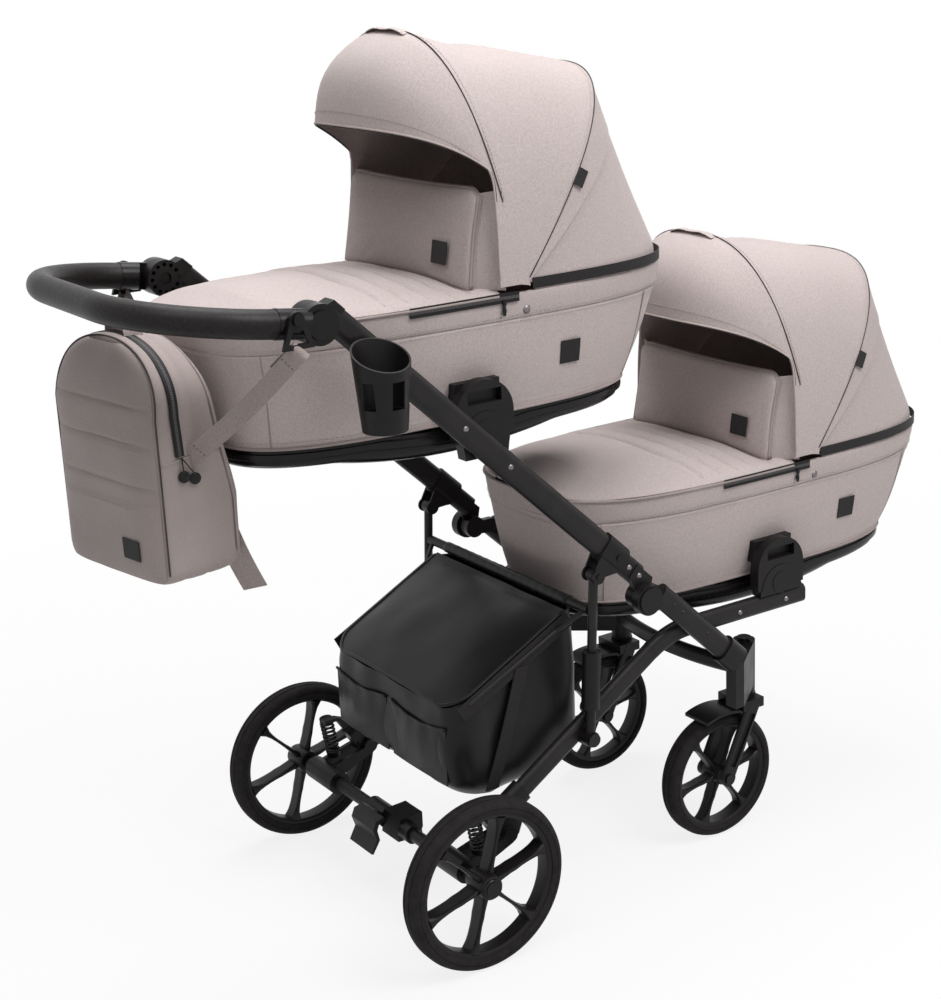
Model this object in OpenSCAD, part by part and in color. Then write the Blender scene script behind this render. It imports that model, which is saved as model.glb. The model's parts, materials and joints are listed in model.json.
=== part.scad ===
// Twin pram: folding frame, two carrycots one behind the other, basket and hanging backpack.
// Millimetres, +Z up, +X forward, the right-hand side is -Y.

/* [Wheels] */
// Rear wheel diameter
rear_wheel_d = 280; // [240:2:320]
// Front wheel diameter
front_wheel_d = 226; // [190:2:260]
// Width of every tyre
tyre_w = 40; // [30:1:50]
// Distance between the middles of the rear wheels
rear_track = 576; // [540:2:620]
// Distance between the two castor axes
front_track = 344; // [320:2:360]
// Castor axis ahead of the rear axle
castor_x = 632; // [600:2:660]
// How far the front axle trails behind its castor axis
castor_trail = 64; // [45:1:70]

/* [Frame] */
// Height of the handle pivot
handle_z = 1040; // [980:5:1080]
// Fold hub ahead of the rear axle
hub_x = 350; // [330:2:370]
// Height of the fold hub
hub_z = 512; // [495:1:530]
// Slope of the side tubes
tube_slope = 43.5; // [40:0.5:46]
// Height of the oval side tube
tube_h = 40; // [34:1:44]
// Thickness of the oval side tube
tube_t = 24; // [20:1:26]
// Middle of the side tubes from the centre line
tube_y = 240; // [238:1:250]
// Height of the oval leg tube
leg_h = 33; // [28:1:36]
// Thickness of the oval leg tube
leg_t = 20; // [16:1:20]
// Length of the level part of the leg tube ahead of the hub
leg_reach = 374; // [350:2:400]

/* [Handle] */
// Reach of the handle behind its pivot
handle_reach = 245; // [238:1:330]
// Rise of the handle towards its end
handle_rise = 8; // [0:0.5:20]
// Thickness of the handle grip
grip_d = 41; // [32:1:42]
// Corner radius of the handle
handle_r = 170; // [120:2:200]

/* [Carrycots] */
// Outside length of a carrycot at its rim
cot_l = 822; // [780:2:850]
// Outside width of a carrycot at its rim
cot_w = 414; // [380:2:416]
// Height of the rim above the ground on the rear carrycot
rim_z = 1025; // [1000:1:1040]
// Height of the cloth side of a carrycot
side_h = 187; // [160:1:190]
// Thickness of a carrycot wall
wall = 8; // [5:1:12]
// How far the front carrycot lies ahead of the rear one
cot_step_x = 587; // [570:1:600]
// How far the front carrycot lies below the rear one
cot_step_z = 372; // [365:1:380]
// Radius of the hood about its pivots
hood_r = 381; // [365:1:390]

/* [Soft goods] */
// Width of the backpack
pack_w = 252; // [200:2:260]
// Height of the backpack
pack_h = 346; // [290:2:350]
// Width of the basket
basket_w = 372; // [330:2:376]
// Curls in each rear spring
spring_curls = 7; // [5:1:9]

/* [Hidden] */
$fn = 48;

// Gap between faces that move past each other, radial play of a running fit, and gap round a fixed piece
gap = 0.3;
play = 0.05;
seat = 0.1;

// Side view points as [x, z] with the rear axle at x = 0
rear_r = rear_wheel_d / 2;
front_r = front_wheel_d / 2;
hub = [hub_x, hub_z];
along = [cos(tube_slope), -sin(tube_slope)];
above = [sin(tube_slope), cos(tube_slope)];
hub_drop = 23;
handle = hub + along * ((hub_z - handle_z) / sin(tube_slope));
tube_foot = hub + above * hub_drop;
tube_head = handle + above * hub_drop + along * 12;
cross = tube_foot + along * 162;
strut_top = hub + [-90, 56];
strut_foot = hub + [-105, -217];
bend = [hub_x + 78, cross[1] + 7];
leg_end = [60, bend[1] - (bend[0] - 60) * tan(32.4)];
bend_r = 150;
leg_y = tube_y - tube_t / 2 - 2 - leg_t / 2;
collar = tube_foot - along * 108;
castor_y = front_track / 2;
front_axle = [castor_x - castor_trail, front_r];
fork_top = front_r + 136;
head_top = fork_top + 100;
pivot_arm = [88, rear_r + 32];
boss_half = leg_t / 2 + 4;
spring_low = [30.5, rear_r + 27];
spring_high = [21.6, rear_r + 84];
spring_lean = atan2(spring_low[0] - spring_high[0], spring_high[1] - spring_low[1]);
spring_y = leg_y + 14;
mount_x = [80, 80 + cot_step_x];
mount_z = [rim_z - 205, rim_z - 205 - cot_step_z];
dome_r = 42;
mount_in = tube_y - tube_t / 2 - 22;
foot_x = -306;
head_x = foot_x + cot_l;
cot_mid = (foot_x + head_x) / 2;
tray_top = rim_z - side_h;
hood_axis = [167, rim_z + 5];
stud = handle + [-44, 16];
cup_p = [-137, -tube_y - tube_t / 2 - 52];
cup_h = 122;
cup_r = [32, 43];

// The middle of the whole pram, seen from above, is the origin.
front_end = head_x + cot_step_x;
back_end = handle[0] - handle_reach * cos(handle_rise) - grip_d / 2;
cup_end = cup_p[1] - cup_r[0] - (cup_r[1] - cup_r[0]) * (cup_h - 35) / cup_h;
wheel_end = rear_track / 2 + tyre_w / 2 + 9;
middle = [-(front_end + back_end) / 2, -(cup_end + wheel_end) / 2, 0];

function unit(v) = v / norm(v);
function mean(p) = [for (k = [0:2]) let (s = [for (q = p) q[k]]) (s * [for (q = s) 1]) / len(s)];
function spow(v, e) = sign(v) * pow(abs(v), e);
function clamp(v, a, b) = min(max(v, a), b);

// Everything is drawn from the rear axle and then moved to the middle of the pram.
module place() {
  translate(middle) children();
}

// Both hands of a part that is drawn on the right, at -Y.
module pair() {
  for (s = [0, 1]) mirror([0, s, 0]) children();
}

module side(left) {
  mirror([0, left ? 1 : 0, 0]) children();
}

// Cylinder across the pram, from y1 to y2, at a side view point.
module pin(p, r, y1, y2) {
  translate([p[0], y1, p[1]]) rotate([-90, 0, 0]) cylinder(r = r, h = y2 - y1);
}

// Flat oval, thick along the first axis.
module oval(thick, high) {
  square([thick, high - thick], center = true);
  for (s = [-1, 1]) translate([0, s * (high - thick) / 2]) circle(d = thick);
}

// Straight oval bar between two side view points at y.
module oval_bar(p, q, high, thick, y) {
  d = q - p;
  translate([p[0], y, p[1]]) rotate([0, -atan2(d[1], d[0]), 0]) rotate([90, 0, 90])
    linear_extrude(norm(d)) oval(thick, high);
}

// Flat plate with a side view outline, from y1 to y2.
module plate(points, y1, y2) {
  translate([0, y2, 0]) rotate([90, 0, 0]) linear_extrude(y2 - y1) polygon(points);
}

// Rod between two points in space.
module rod(p, q, r) {
  d = q - p;
  translate(p) rotate([0, acos(d[2] / norm(d)), atan2(d[1], d[0])]) cylinder(r = r, h = norm(d));
}

// Rivet head on a face that looks towards -Y.
module rivet(p, y) {
  translate([p[0], y, p[1]]) rotate([90, 0, 0]) cylinder(r1 = 4.5, r2 = 3, h = 1.8, $fn = 24);
}

function quad(a, b, c, d) = [[a, b, c], [a, c, d]];

// Closed skin through rings of equal length, with a fan over each end.
module skin(rings) {
  n = len(rings[0]);
  m = len(rings);
  points = concat([for (r = rings) each r], [mean(rings[0]), mean(rings[m - 1])]);
  walls = [for (i = [0:m - 2], j = [0:n - 1]) let (k = (j + 1) % n)
    each quad(i * n + j, (i + 1) * n + j, (i + 1) * n + k, i * n + k)];
  low = [for (j = [0:n - 1]) [m * n, j, (j + 1) % n]];
  high = [for (j = [0:n - 1]) [m * n + 1, (m - 1) * n + (j + 1) % n, (m - 1) * n + j]];
  polyhedron(points, concat(walls, low, high));
}

// Closed sheet between two grids of points, the upper one facing out.
module sheet(top, bottom) {
  m = len(top);
  n = len(top[0]);
  k = m * n;
  e = (m - 1) * n;
  faces = concat(
    [for (i = [0:m - 2], j = [0:n - 2]) let (a = i * n + j) each quad(a, a + 1, a + n + 1, a + n)],
    [for (i = [0:m - 2], j = [0:n - 2]) let (a = k + i * n + j) each quad(a, a + n, a + n + 1, a + 1)],
    [for (j = [0:n - 2]) each quad(j, k + j, k + j + 1, j + 1)],
    [for (j = [0:n - 2]) each quad(e + j, e + j + 1, k + e + j + 1, k + e + j)],
    [for (i = [0:m - 2]) let (a = i * n) each quad(a, a + n, k + a + n, k + a)],
    [for (i = [0:m - 2]) let (a = i * n + n - 1) each quad(a, k + a, k + a + n, a + n)]);
  polyhedron(concat([for (r = top) each r], [for (r = bottom) each r]), faces);
}

// Push frame

module push_tube(left) {
  color("#3a3839") place() side(left) {
    oval_bar(tube_head, collar, tube_h, tube_t, -tube_y);
  }
}

module push_tube_right() {
  push_tube(false);
}

module push_tube_left() {
  push_tube(true);
}

// Arm that carries each side tube to its fold hub, with a lug on the outer half.
module hinge_arms() {
  outer = tube_y + tube_t / 2;
  color("#333132") place() pair() difference() {
    union() {
      oval_bar(collar, tube_foot - along * 30, tube_h - 4, tube_t - 4, -tube_y);
      plate([tube_foot - along * 48 + above * 12, tube_foot - along * 8 + above * 12,
        hub + along * 16 - above * 2, hub - along * 16 - above * 2, tube_foot - along * 48 - above * 12],
        -outer, -tube_y - gap);
      pin(hub, 19, -outer, -tube_y - gap);
    }
    pin(hub, 8 + play, -outer - 1, -tube_y + 1);
  }
}

// Collar round each tube end, with two cheeks that hold the top of the strut.
module strut_brackets() {
  half = tube_t / 2 + 3;
  lug = strut_top;
  color("#2c2a2b") place() pair() {
    difference() {
      oval_bar(collar - along * 16, collar + along * 34, tube_h + 7, tube_t + 6, -tube_y);
      oval_bar(collar - along * 17, collar + along * seat, tube_h + 2 * seat, tube_t + 2 * seat, -tube_y);
      oval_bar(collar - along * 0.01, collar + along * 35, tube_h - 4 + 2 * seat, tube_t - 4 + 2 * seat, -tube_y);
    }
    for (y = [-tube_y - half, -tube_y + half - 3.2]) {
      plate([collar - along * 14 - above * 16, collar + along * 34 - above * 16,
        lug + [12, -2], lug + [-12, -2]], y, y + 3.2);
      pin(lug, 12, y, y + 3.2);
    }
    pin(lug, 5, -tube_y - half - 2, -tube_y - half);
    pin(collar + along * 18, 5, -tube_y - half - 2, -tube_y - half);
  }
}

// Dome on which a carrycot grip sits, with its foot, for the tube or the leg.
module cot_dome(k, low) {
  p = [mount_x[k], mount_z[k]];
  difference() {
    pin(p, dome_r, -mount_in - 21, -mount_in);
    translate([p[0] - dome_r - 1, -mount_in - 22, p[1] - low - dome_r]) cube([2 * dome_r + 2, 23, dome_r]);
  }
  plate([p + [-dome_r, 0], p + [dome_r, 0], p + [dome_r - 4, -low], p + [4 - dome_r, -low]],
    -mount_in - 21, -mount_in);
}

module push_mounts() {
  color("#242324") place() pair() {
    difference() {
      union() {
        cot_dome(0, 28);
        translate([mount_x[0], -mount_in - 21 - 0.5, mount_z[0] + 10]) rotate([90, 0, 0])
          translate([0, 0, -1]) cylinder(r = 19, h = 1.4);
      }
      pin([mount_x[0], mount_z[0]] + [26, -18], 3, -mount_in - 22, -mount_in + 1);
      pin([mount_x[0], mount_z[0]] + [-26, -18], 3, -mount_in - 22, -mount_in + 1);
    }
    // Foot that meets the inner face of the side tube
    pin([mount_x[0], mount_z[0]] + [-6, -14], 8, -tube_y + tube_t / 2, -mount_in - 20);
  }
}

// Fixed half of each handle joint, with the ribs round it.
module handle_knuckles() {
  inner = tube_y - tube_t / 2;
  outer = inner + tube_t;
  color("#2b292a") place() pair() {
    difference() {
      union() {
        pin(handle, 29, -outer, -inner + 2);
        plate([handle + above * 6 - along * 12, handle + above * 42 + along * 4,
          handle + above * 42 + along * 26, handle + along * 24], -outer, -inner + 2);
      }
      oval_bar(tube_head - along * seat, tube_head + along * 60, tube_h + 2 * seat, tube_t + 2 * seat, -tube_y);
      pin(handle, 10 + play, -outer - 1, -inner + 3);
      for (a = [0:30:330])
        pin(handle + [cos(a), sin(a)] * 22, 3.2, -inner - 12, -inner + 3);
    }
  }
}

cup_low = rim_z - 137;
cup_seat_r = 28.5;

// Tapered cup with side windows, a slanted mouth and a clip on the right-hand tube.
module cup_holder() {
  outside = -tube_y - tube_t / 2;
  color("#2a2829") place() translate([cup_p[0], cup_p[1], cup_low]) {
    difference() {
      union() {
        cylinder(r1 = cup_r[0], r2 = cup_r[1], h = cup_h);
        translate([12, 25, 82]) cube([26, outside - cup_p[1] - 25, 24]);
      }
      translate([0, 0, 26]) cylinder(r1 = 31.2, r2 = 40.4, h = cup_h - 25);
      translate([0, 0, 4]) cylinder(r = cup_seat_r, h = 40);
      for (a = [205, 275, 335]) rotate([0, 0, a]) translate([20, -10, 34]) cube([40, 20, 40]);
      translate([-80, -42, cup_h - 35]) rotate([22.6, 0, 0]) translate([0, -60, 0]) cube([160, 220, 80]);
    }
  }
}

module push_rivets() {
  y = -tube_y - tube_t / 2;
  color("#8a8686") place() pair() {
    for (s = [302, 407]) rivet(handle + above * hub_drop + along * s, y);
    rivet(tube_foot - along * 58, y + 2);
    rivet(tube_foot - along * 33, y);
  }
}

// Handle

// Round bar along the handle's outline between two offsets from the pivot.
module handle_bar(d, start) {
  half = tube_y + 17;
  r = handle_r;
  translate([handle[0], 0, handle[1]]) rotate([0, handle_rise, 0]) {
    for (s = [-1, 1]) {
      translate([-start, s * half, 0]) rotate([0, -90, 0])
        cylinder(d = d, h = handle_reach - r - start);
      translate([r - handle_reach, s * (half - r), 0]) rotate([0, 0, s > 0 ? 90 : 180])
        rotate_extrude(angle = 90) translate([r, 0]) circle(d = d);
    }
    translate([-handle_reach, r - half, 0]) rotate([-90, 0, 0]) cylinder(d = d, h = 2 * (half - r));
  }
}

module handle_grip() {
  color("#2f2c2c") place() handle_bar(grip_d, 66);
}

// Moving half of each handle joint, with a stud for the bag hook.
module handle_cuffs() {
  inner = tube_y - tube_t / 2;
  outer = inner + tube_t;
  y = tube_y + 17;
  color("#343132") place() pair() {
    difference() {
      union() {
        pin(handle, 29, -inner - 40, -outer - gap);
        translate([handle[0], -y, handle[1]]) rotate([0, handle_rise, 0]) translate([-16, 0, 0])
          rotate([0, -90, 0]) cylinder(d = grip_d + 2, h = 50);
      }
      pin(handle, 20 + gap, -inner - 60, -inner - 30);
      pin(handle, 40, -outer - gap, -inner + 10);
    }
    pin(handle, 10, -outer - 3, -inner - 2);
    pin(stud, 4.5, -y - grip_d / 2 - 11, -y - grip_d / 2 + 4);
    pin(stud, 8, -y - grip_d / 2 - 13, -y - grip_d / 2 - 10.5);
  }
}

module handle_button(left) {
  inner = tube_y - tube_t / 2;
  color("#1f1d1e") place() side(left) {
    pin(handle, 20, -inner - 44, -inner - 34.5);
  }
}

module handle_button_right() {
  handle_button(false);
}

module handle_button_left() {
  handle_button(true);
}

// Backpack

hook_y = tube_y + 17 + grip_d / 2 + 1.5;

module strap_hooks() {
  color("#191818") place() pair() {
    difference() {
      union() {
        plate([stud + [-10, 4], stud + [10, 4], stud + [24, -40], stud + [-24, -40]], -hook_y - 6, -hook_y);
        pin(stud, 11, -hook_y - 6, -hook_y);
      }
      pin(stud, 4.5 + play, -hook_y - 7, -hook_y + 1);
      plate([stud + [-8, -15], stud + [8, -15], stud + [15, -33], stud + [-15, -33]], -hook_y - 7, -hook_y + 1);
    }
  }
}

pack_top = rim_z - 9;
pack_low = pack_top - pack_h;
pack_x = -366;
pack_yaw = 10;
arch_z = pack_top - 100;

// Half width, back and front of the backpack at a height: square below, an arch above.
function pack_half(z) = pack_w / 2 * pow(1 - pow(clamp((z - arch_z) / (pack_top - arch_z), 0, 1), 2.2), 1 / 2.2);
function pack_front(z) = -60 + 16 * clamp((z - arch_z) / (pack_top - arch_z), 0, 1);
function pack_back(z) = 76 - 38 * clamp((z - rim_z + 245) / 180, 0, 1) - 15 * clamp((z - rim_z + 65) / 55, 0, 1);
function pack_ring(z, scale) = [for (k = [0:35]) let (a = k * 10, f = pack_front(z), b = pack_back(z))
  [(f + b) / 2 + (b - f) / 2 * scale * spow(cos(a), 0.45), max(pack_half(z), 8) * scale * spow(sin(a), 0.45), z]];
pack_rows = [[0, 0.84], [0.008, 0.93], [0.03, 0.98], [0.09, 1], [0.3, 1], [0.46, 1], [0.61, 1], [0.7, 1],
  [0.79, 1], [0.87, 1], [0.93, 0.99], [0.97, 0.97], [0.992, 0.92]];

module backpack() {
  color("#b3a6a1") place() translate([pack_x, 0, 0]) rotate([0, 0, pack_yaw])
    skin([for (r = pack_rows) pack_ring(pack_low + pack_h * r[0], r[1])]);
}

// Webbing between two points, lying flat to the side.
module webbing(p, q, w, t) {
  d = q - p;
  a = atan2(d[2], d[0]);
  hull() {
    for (e = [p, q]) translate(e) rotate([0, -a, 0]) cube([2, t, w], center = true);
  }
}

module backpack_straps() {
  z = pack_low + 0.53 * pack_h;
  mid = pack_x + (pack_front(z) + pack_back(z)) / 2 * cos(pack_yaw);
  out = pack_w / 2 + 2.6;
  from = [stud[0], hook_y + 3, stud[1] - 45];
  tail_x = pack_back(pack_low) + 25.2;
  color("#a2958f") place() {
    pair() translate([stud[0], -hook_y - 3, stud[1] - 36.5]) difference() {
      cube([22, 9.4, 11.8], center = true);
      cube([30, 6.4, 7.4], center = true);
    }
    webbing([from[0] - 2, -from[1], from[2] - 11], [mid + out * sin(pack_yaw), -out * cos(pack_yaw), z], 26, 3);
    webbing([from[0] - 2, from[1], from[2] - 11], [mid - out * sin(pack_yaw), out * cos(pack_yaw), z + 10], 26, 3);
    pair() translate([stud[0] - 8, -hook_y - 3, stud[1] - 47]) cube([18, 3, 11], center = true);
    // Grab loop at the top
    translate([pack_x - 12, 0, pack_top - 2.4]) rotate([90, 0, 90]) translate([0, 0, -14]) linear_extrude(28)
      difference() {
        circle(r = 34);
        circle(r = 31);
        translate([0, -50]) square([100, 100], center = true);
      }
    // Loose end of the shoulder strap
    webbing([pack_x + tail_x, -62, pack_low + 26], [pack_x + tail_x + 27, -62, pack_low - 46], 32, 3);
  }
}

// Front legs

module front_leg(left) {
  color("#383637") place() side(left) {
    difference() {
      union() {
        oval_bar(tube_foot + along * 32, cross + along * 92, tube_h - 2, tube_t, -tube_y);
        plate([tube_foot + along * 34 - above * 12, tube_foot + along * 52 - above * 8,
          tube_foot + along * 52 + above * 10, tube_foot + along * 20 + above * 10,
          hub - along * 14, hub + along * 14 - above * 6],
          -tube_y + gap, -tube_y + tube_t / 2);
        pin(hub, 19, -tube_y + gap, -tube_y + tube_t / 2);
        // Pivot where the leg tube crosses
        pin(cross, 7, -tube_y + tube_t / 2 - 1, -leg_y + leg_t / 2 + 3);
        pin(cross, 10, -leg_y + leg_t / 2 + gap, -leg_y + leg_t / 2 + 3);
      }
      pin(hub, 30, -tube_y - tube_t / 2 - 1, -tube_y + gap);
    }
    pin(hub, 8, -tube_y - tube_t / 2 - 4, -tube_y + gap + 2);
    for (s = [66, 90, 162]) rivet(tube_foot + along * s, -tube_y - tube_t / 2 + 0.2);
  }
}

module front_leg_right() {
  front_leg(false);
}

module front_leg_left() {
  front_leg(true);
}

module fold_knobs() {
  outer = tube_y + tube_t / 2;
  color("#232122") place() pair() difference() {
    union() {
      pin(hub, 25, -outer - 17, -outer - gap);
      pin(hub, 21, -outer - 20, -outer - 16);
    }
    pin(hub, 8, -outer - 4, -outer);
  }
}

// Casting that takes the end of each front leg and holds the castor.
module castor_heads() {
  foot = cross + along * 92;
  color("#252324") place() pair() difference() {
    union() {
      translate([castor_x, -castor_y, fork_top]) cylinder(r = 19, h = 98);
      oval_bar(foot - along * 36, foot + along * 6, tube_h + 8, tube_t + 8, -tube_y);
      translate([0, 0, fork_top + 16]) linear_extrude(80) polygon([
        [foot[0] - 6, -tube_y - 11], [foot[0] + 14, -tube_y - 9],
        [castor_x + 14, -castor_y - 12], [castor_x - 4, -castor_y + 17],
        [castor_x - 17, -castor_y + 6], [foot[0] - 6, -tube_y + 14]]);
    }
    oval_bar(foot - along * 60, foot + along * seat, tube_h - 2 + 2 * seat, tube_t + 2 * seat, -tube_y);
    translate([castor_x, -castor_y, fork_top - 1]) cylinder(r = 8 + play, h = 90);
    translate([castor_x, -castor_y, head_top - 12]) cylinder(r = 12 + gap, h = 20);
  }
}

// Bowed bar between the two castor heads.
module front_cross_bar() {
  r = 520;
  half = castor_y - 16.7;
  swing = asin(half / r);
  sag = r * cos(swing);
  color("#2a2829") place() translate([castor_x - 12 + sag, 0, fork_top + 48]) rotate([0, 0, 180 - swing])
    rotate_extrude(angle = 2 * swing, $fn = 96) translate([r, 0]) oval(18, 30);
}

module swivel_lock(left) {
  color("#1b1a1a") place() side(left) {
    translate([castor_x, -castor_y, head_top - 11.5]) cylinder(r = 12, h = 14);
    translate([castor_x - 4, -castor_y - 20, head_top - 1]) cube([8, 22, 3.5]);
  }
}

module swivel_lock_right() {
  swivel_lock(false);
}

module swivel_lock_left() {
  swivel_lock(true);
}

// Castors

module castor_fork(left) {
  crown = fork_top - gap;
  leg_in = tyre_w / 2 + 4;
  top = [castor_x - 4, fork_top - 16];
  color("#232122") place() side(left) translate([0, -castor_y, 0]) {
    translate([castor_x, 0, crown - 10]) cylinder(r = 20, h = 10);
    translate([castor_x, 0, crown - 4]) cylinder(r = 8, h = 84);
    difference() {
      translate([castor_x - 30, -leg_in - 9.5, crown - 20]) cube([46, 2 * leg_in + 19, 17]);
      pin(front_axle, front_r + 4, -leg_in, leg_in);
    }
    for (s = [-1, 1]) difference() {
      union() {
        oval_bar(top + [0, 6], front_axle, 30, 10, s * (leg_in + 5));
        pin(front_axle, 14.4, s * (leg_in + 5) - 5.2, s * (leg_in + 5) + 5.2);
      }
      oval_bar(top + [-5, -12], front_axle + [8, 20], 13, 12, s * (leg_in + 8.5) - s * 0.5);
      pin(front_axle, 6 + play, s * (leg_in + 5) - 8, s * (leg_in + 5) + 8);
    }
    // Guard over the back of the wheel
    intersection() {
      difference() {
        pin(front_axle, front_r + 10, -leg_in - 6, leg_in + 6);
        pin(front_axle, front_r + 5, -leg_in - 7, leg_in + 7);
      }
      translate([castor_x - 108, -60, fork_top - 62]) cube([100, 120, 60]);
    }
    pin(front_axle, 6, -leg_in - 13, leg_in + 13);
    pin(front_axle, 9, -leg_in - 14, -leg_in - 10.5);
    pin(front_axle, 9, leg_in + 10.5, leg_in + 14);
  }
}

module castor_fork_right() {
  castor_fork(false);
}

module castor_fork_left() {
  castor_fork(true);
}

// Wheels

// Spoked rim about its own middle, with a bore of the given radius.
module rim(r, hub_r, bore_r, hub_w, blade_t, blade_w, turn) {
  rotate([90, 0, 0]) difference() {
    union() {
      cylinder(r = hub_r, h = hub_w, center = true);
      difference() {
        cylinder(r = r, h = tyre_w - 8, center = true);
        cylinder(r = r - 9, h = tyre_w, center = true);
      }
      for (a = [0:60:300]) rotate([0, 0, a + turn]) translate([hub_r - 6, -blade_t / 2, -blade_w / 2])
        cube([r - hub_r, blade_t, blade_w]);
    }
    cylinder(r = bore_r, h = hub_w + 2, center = true);
  }
}

// Tyre with two shallow rings round its tread.
module tyre(r, inner) {
  w = tyre_w / 2;
  rotate([90, 0, 0]) rotate_extrude($fn = 72) difference() {
    polygon([[inner, -w + 3], [inner + 4, -w], [r - 10, -w], [r - 3, -w + 6], [r, -w + 13],
      [r, w - 13], [r - 3, w - 6], [r - 10, w], [inner + 4, w], [inner, w - 3]]);
    for (s = [-1, 1]) translate([r, s * 4.5]) square([3, 2], center = true);
  }
}

module front_wheel_at(left) {
  place() side(left) translate([front_axle[0], -castor_y, front_axle[1]]) children();
}

module rear_wheel_at(left) {
  place() side(left) translate([0, -rear_track / 2, rear_r]) children();
}

module front_rim_right() {
  color("#2b2929") front_wheel_at(false) rim(front_r - 18, 16, 6 + play, tyre_w + 6, 7, 24, 8);
}

module front_rim_left() {
  color("#2b2929") front_wheel_at(true) rim(front_r - 18, 16, 6 + play, tyre_w + 6, 7, 24, 8);
}

module front_tyre_right() {
  color("#3b3939") front_wheel_at(false) tyre(front_r, front_r - 18);
}

module front_tyre_left() {
  color("#3b3939") front_wheel_at(true) tyre(front_r, front_r - 18);
}

module rear_rim_right() {
  color("#2b2929") rear_wheel_at(false) rim(rear_r - 22, 20, 8 + play, tyre_w + 8, 9, 30, 15);
}

module rear_rim_left() {
  color("#2b2929") rear_wheel_at(true) rim(rear_r - 22, 20, 8 + play, tyre_w + 8, 9, 30, 2);
}

module rear_tyre_right() {
  color("#3b3939") rear_wheel_at(false) tyre(rear_r, rear_r - 22);
}

module rear_tyre_left() {
  color("#3b3939") rear_wheel_at(true) tyre(rear_r, rear_r - 22);
}

// Struts and basket

strut_dir = unit(strut_foot - strut_top);
strut_l = norm(strut_foot - strut_top);

module strut_rods() {
  color("#3c3a3b") place() pair() {
    rod([strut_top[0], -tube_y, strut_top[1]],
      [strut_top[0] + strut_dir[0] * 150, -tube_y, strut_top[1] + strut_dir[1] * 150], 7.5);
    pin(strut_top, 10, -tube_y - 8, -tube_y + 8);
  }
}

// Sleeve below each rod, with the collar at its mouth and the eye at its foot.
module strut_sleeves() {
  color("#2b292a") place() pair() {
    difference() {
      union() {
        rod([strut_top[0] + strut_dir[0] * 126, -tube_y, strut_top[1] + strut_dir[1] * 126],
          [strut_top[0] + strut_dir[0] * 222, -tube_y, strut_top[1] + strut_dir[1] * 222], 15);
        rod([strut_top[0] + strut_dir[0] * 221, -tube_y, strut_top[1] + strut_dir[1] * 221],
          [strut_foot[0] - strut_dir[0] * 4, -tube_y, strut_foot[1] - strut_dir[1] * 4], 8.7);
        pin(strut_foot, 13, -tube_y - 9, -tube_y + 11);
      }
      rod([strut_top[0] + strut_dir[0] * 120, -tube_y, strut_top[1] + strut_dir[1] * 120],
        [strut_top[0] + strut_dir[0] * 150.1, -tube_y, strut_top[1] + strut_dir[1] * 150.1], 7.5 + seat);
      pin(strut_foot, 6 + play, -tube_y - 10, -tube_y + 12);
    }
  }
}

rail = strut_top + strut_dir * 60;
lid_low = [19, rim_z - 642];
lid_high = rail + [-14, -9];

// Cross tube between the struts, and the side wires that hold the basket's edge.
module basket_rail() {
  w = basket_w / 2;
  color("#222021") place() {
    pin(rail, 8, -tube_y + 8, tube_y - 8);
    pair() {
      rod([rail[0], -tube_y + 16, rail[1]], [rail[0] - 40, -w - 9, rail[1] - 36], 4);
      translate([rail[0] - 40, -w - 9, rail[1] - 36]) sphere(r = 4.4);
      rod([rail[0] - 40, -w - 9, rail[1] - 36], [lid_low[0] + 30, -w - 5, lid_low[1] + 6], 4);
    }
  }
}

// Side outline of the basket, drawn in by d.
function basket_side(d) = [lid_low + [d, -d], lid_high + [0, -d], rail + [12 - d, -8.2 - d],
  strut_foot + [26 - d, -52 + d], [98, strut_foot[1] - 80 + d], [24 + d, strut_foot[1] - 57 + d * 0.8]];

module basket() {
  w = basket_w / 2;
  color("#1d1b1c") place() difference() {
    plate(basket_side(0), -w, w);
    plate(basket_side(4), -w + 4, w - 4);
    plate([lid_low + [6, -14], lid_high + [-8, -14], lid_high + [-8, 60], lid_low + [6, 60]], -w + 4, w - 4);
  }
}

// Zipped lid with a low crown, lying on the basket's edge.
module basket_lid() {
  w = basket_w / 2;
  v = lid_high - lid_low;
  up = [-v[1], v[0]] / norm(v);
  rows = 8;
  cols = 8;
  function spot(i, j, t) = let (u = i / rows, s = j / cols * 2 - 1,
    c = t + 12 * sin(180 * u) * (1 - s * s), p = lid_low + v * (u * 0.94 + 0.01) + up * c)
    [p[0], s * (w - 2), p[1]];
  color("#262425") place() sheet([for (i = [0:rows]) [for (j = [0:cols]) spot(i, j, 4.4)]],
    [for (i = [0:rows]) [for (j = [0:cols]) spot(i, j, 0.4)]]);
}

// Rear legs

// Oval tube with one bend, in a side plane.
module bent_bar(p, v, q, r, high, thick, y) {
  a = unit(v - p);
  b = unit(q - v);
  turn = acos(a * b);
  back = r * tan(turn / 2);
  first = v - a * back;
  centre = first + [a[1], -a[0]] * r;
  from = atan2(first[1] - centre[1], first[0] - centre[0]);
  // The bend is a hair stouter than the straight lengths that run into it.
  oval_bar(p, first + a * 3, high, thick, y);
  oval_bar(v + b * (back - 3), q, high, thick, y);
  translate([centre[0], y, centre[1]]) rotate([90, 0, 0]) rotate([0, 0, from - turn])
    rotate_extrude(angle = turn, $fn = 96) translate([r, 0]) rotate(90) oval(thick + 0.8, high + 0.8);
}

module rear_leg(left) {
  color("#363435") place() side(left) difference() {
    union() {
      bent_bar(leg_end, bend, [hub_x + leg_reach, bend[1]], bend_r, leg_h, leg_t, -leg_y);
      pin(strut_foot, 14, -tube_y + 11.4, -leg_y + leg_t / 2 - 4);
      pin(strut_foot, 6, -tube_y - 12, -tube_y + 12);
      pin(strut_foot, 11, -tube_y - 14, -tube_y - 10 - gap);
    }
    pin(cross, 7 + play, -leg_y - leg_t, -leg_y + leg_t);
  }
}

module rear_leg_right() {
  rear_leg(false);
}

module rear_leg_left() {
  rear_leg(true);
}

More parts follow.
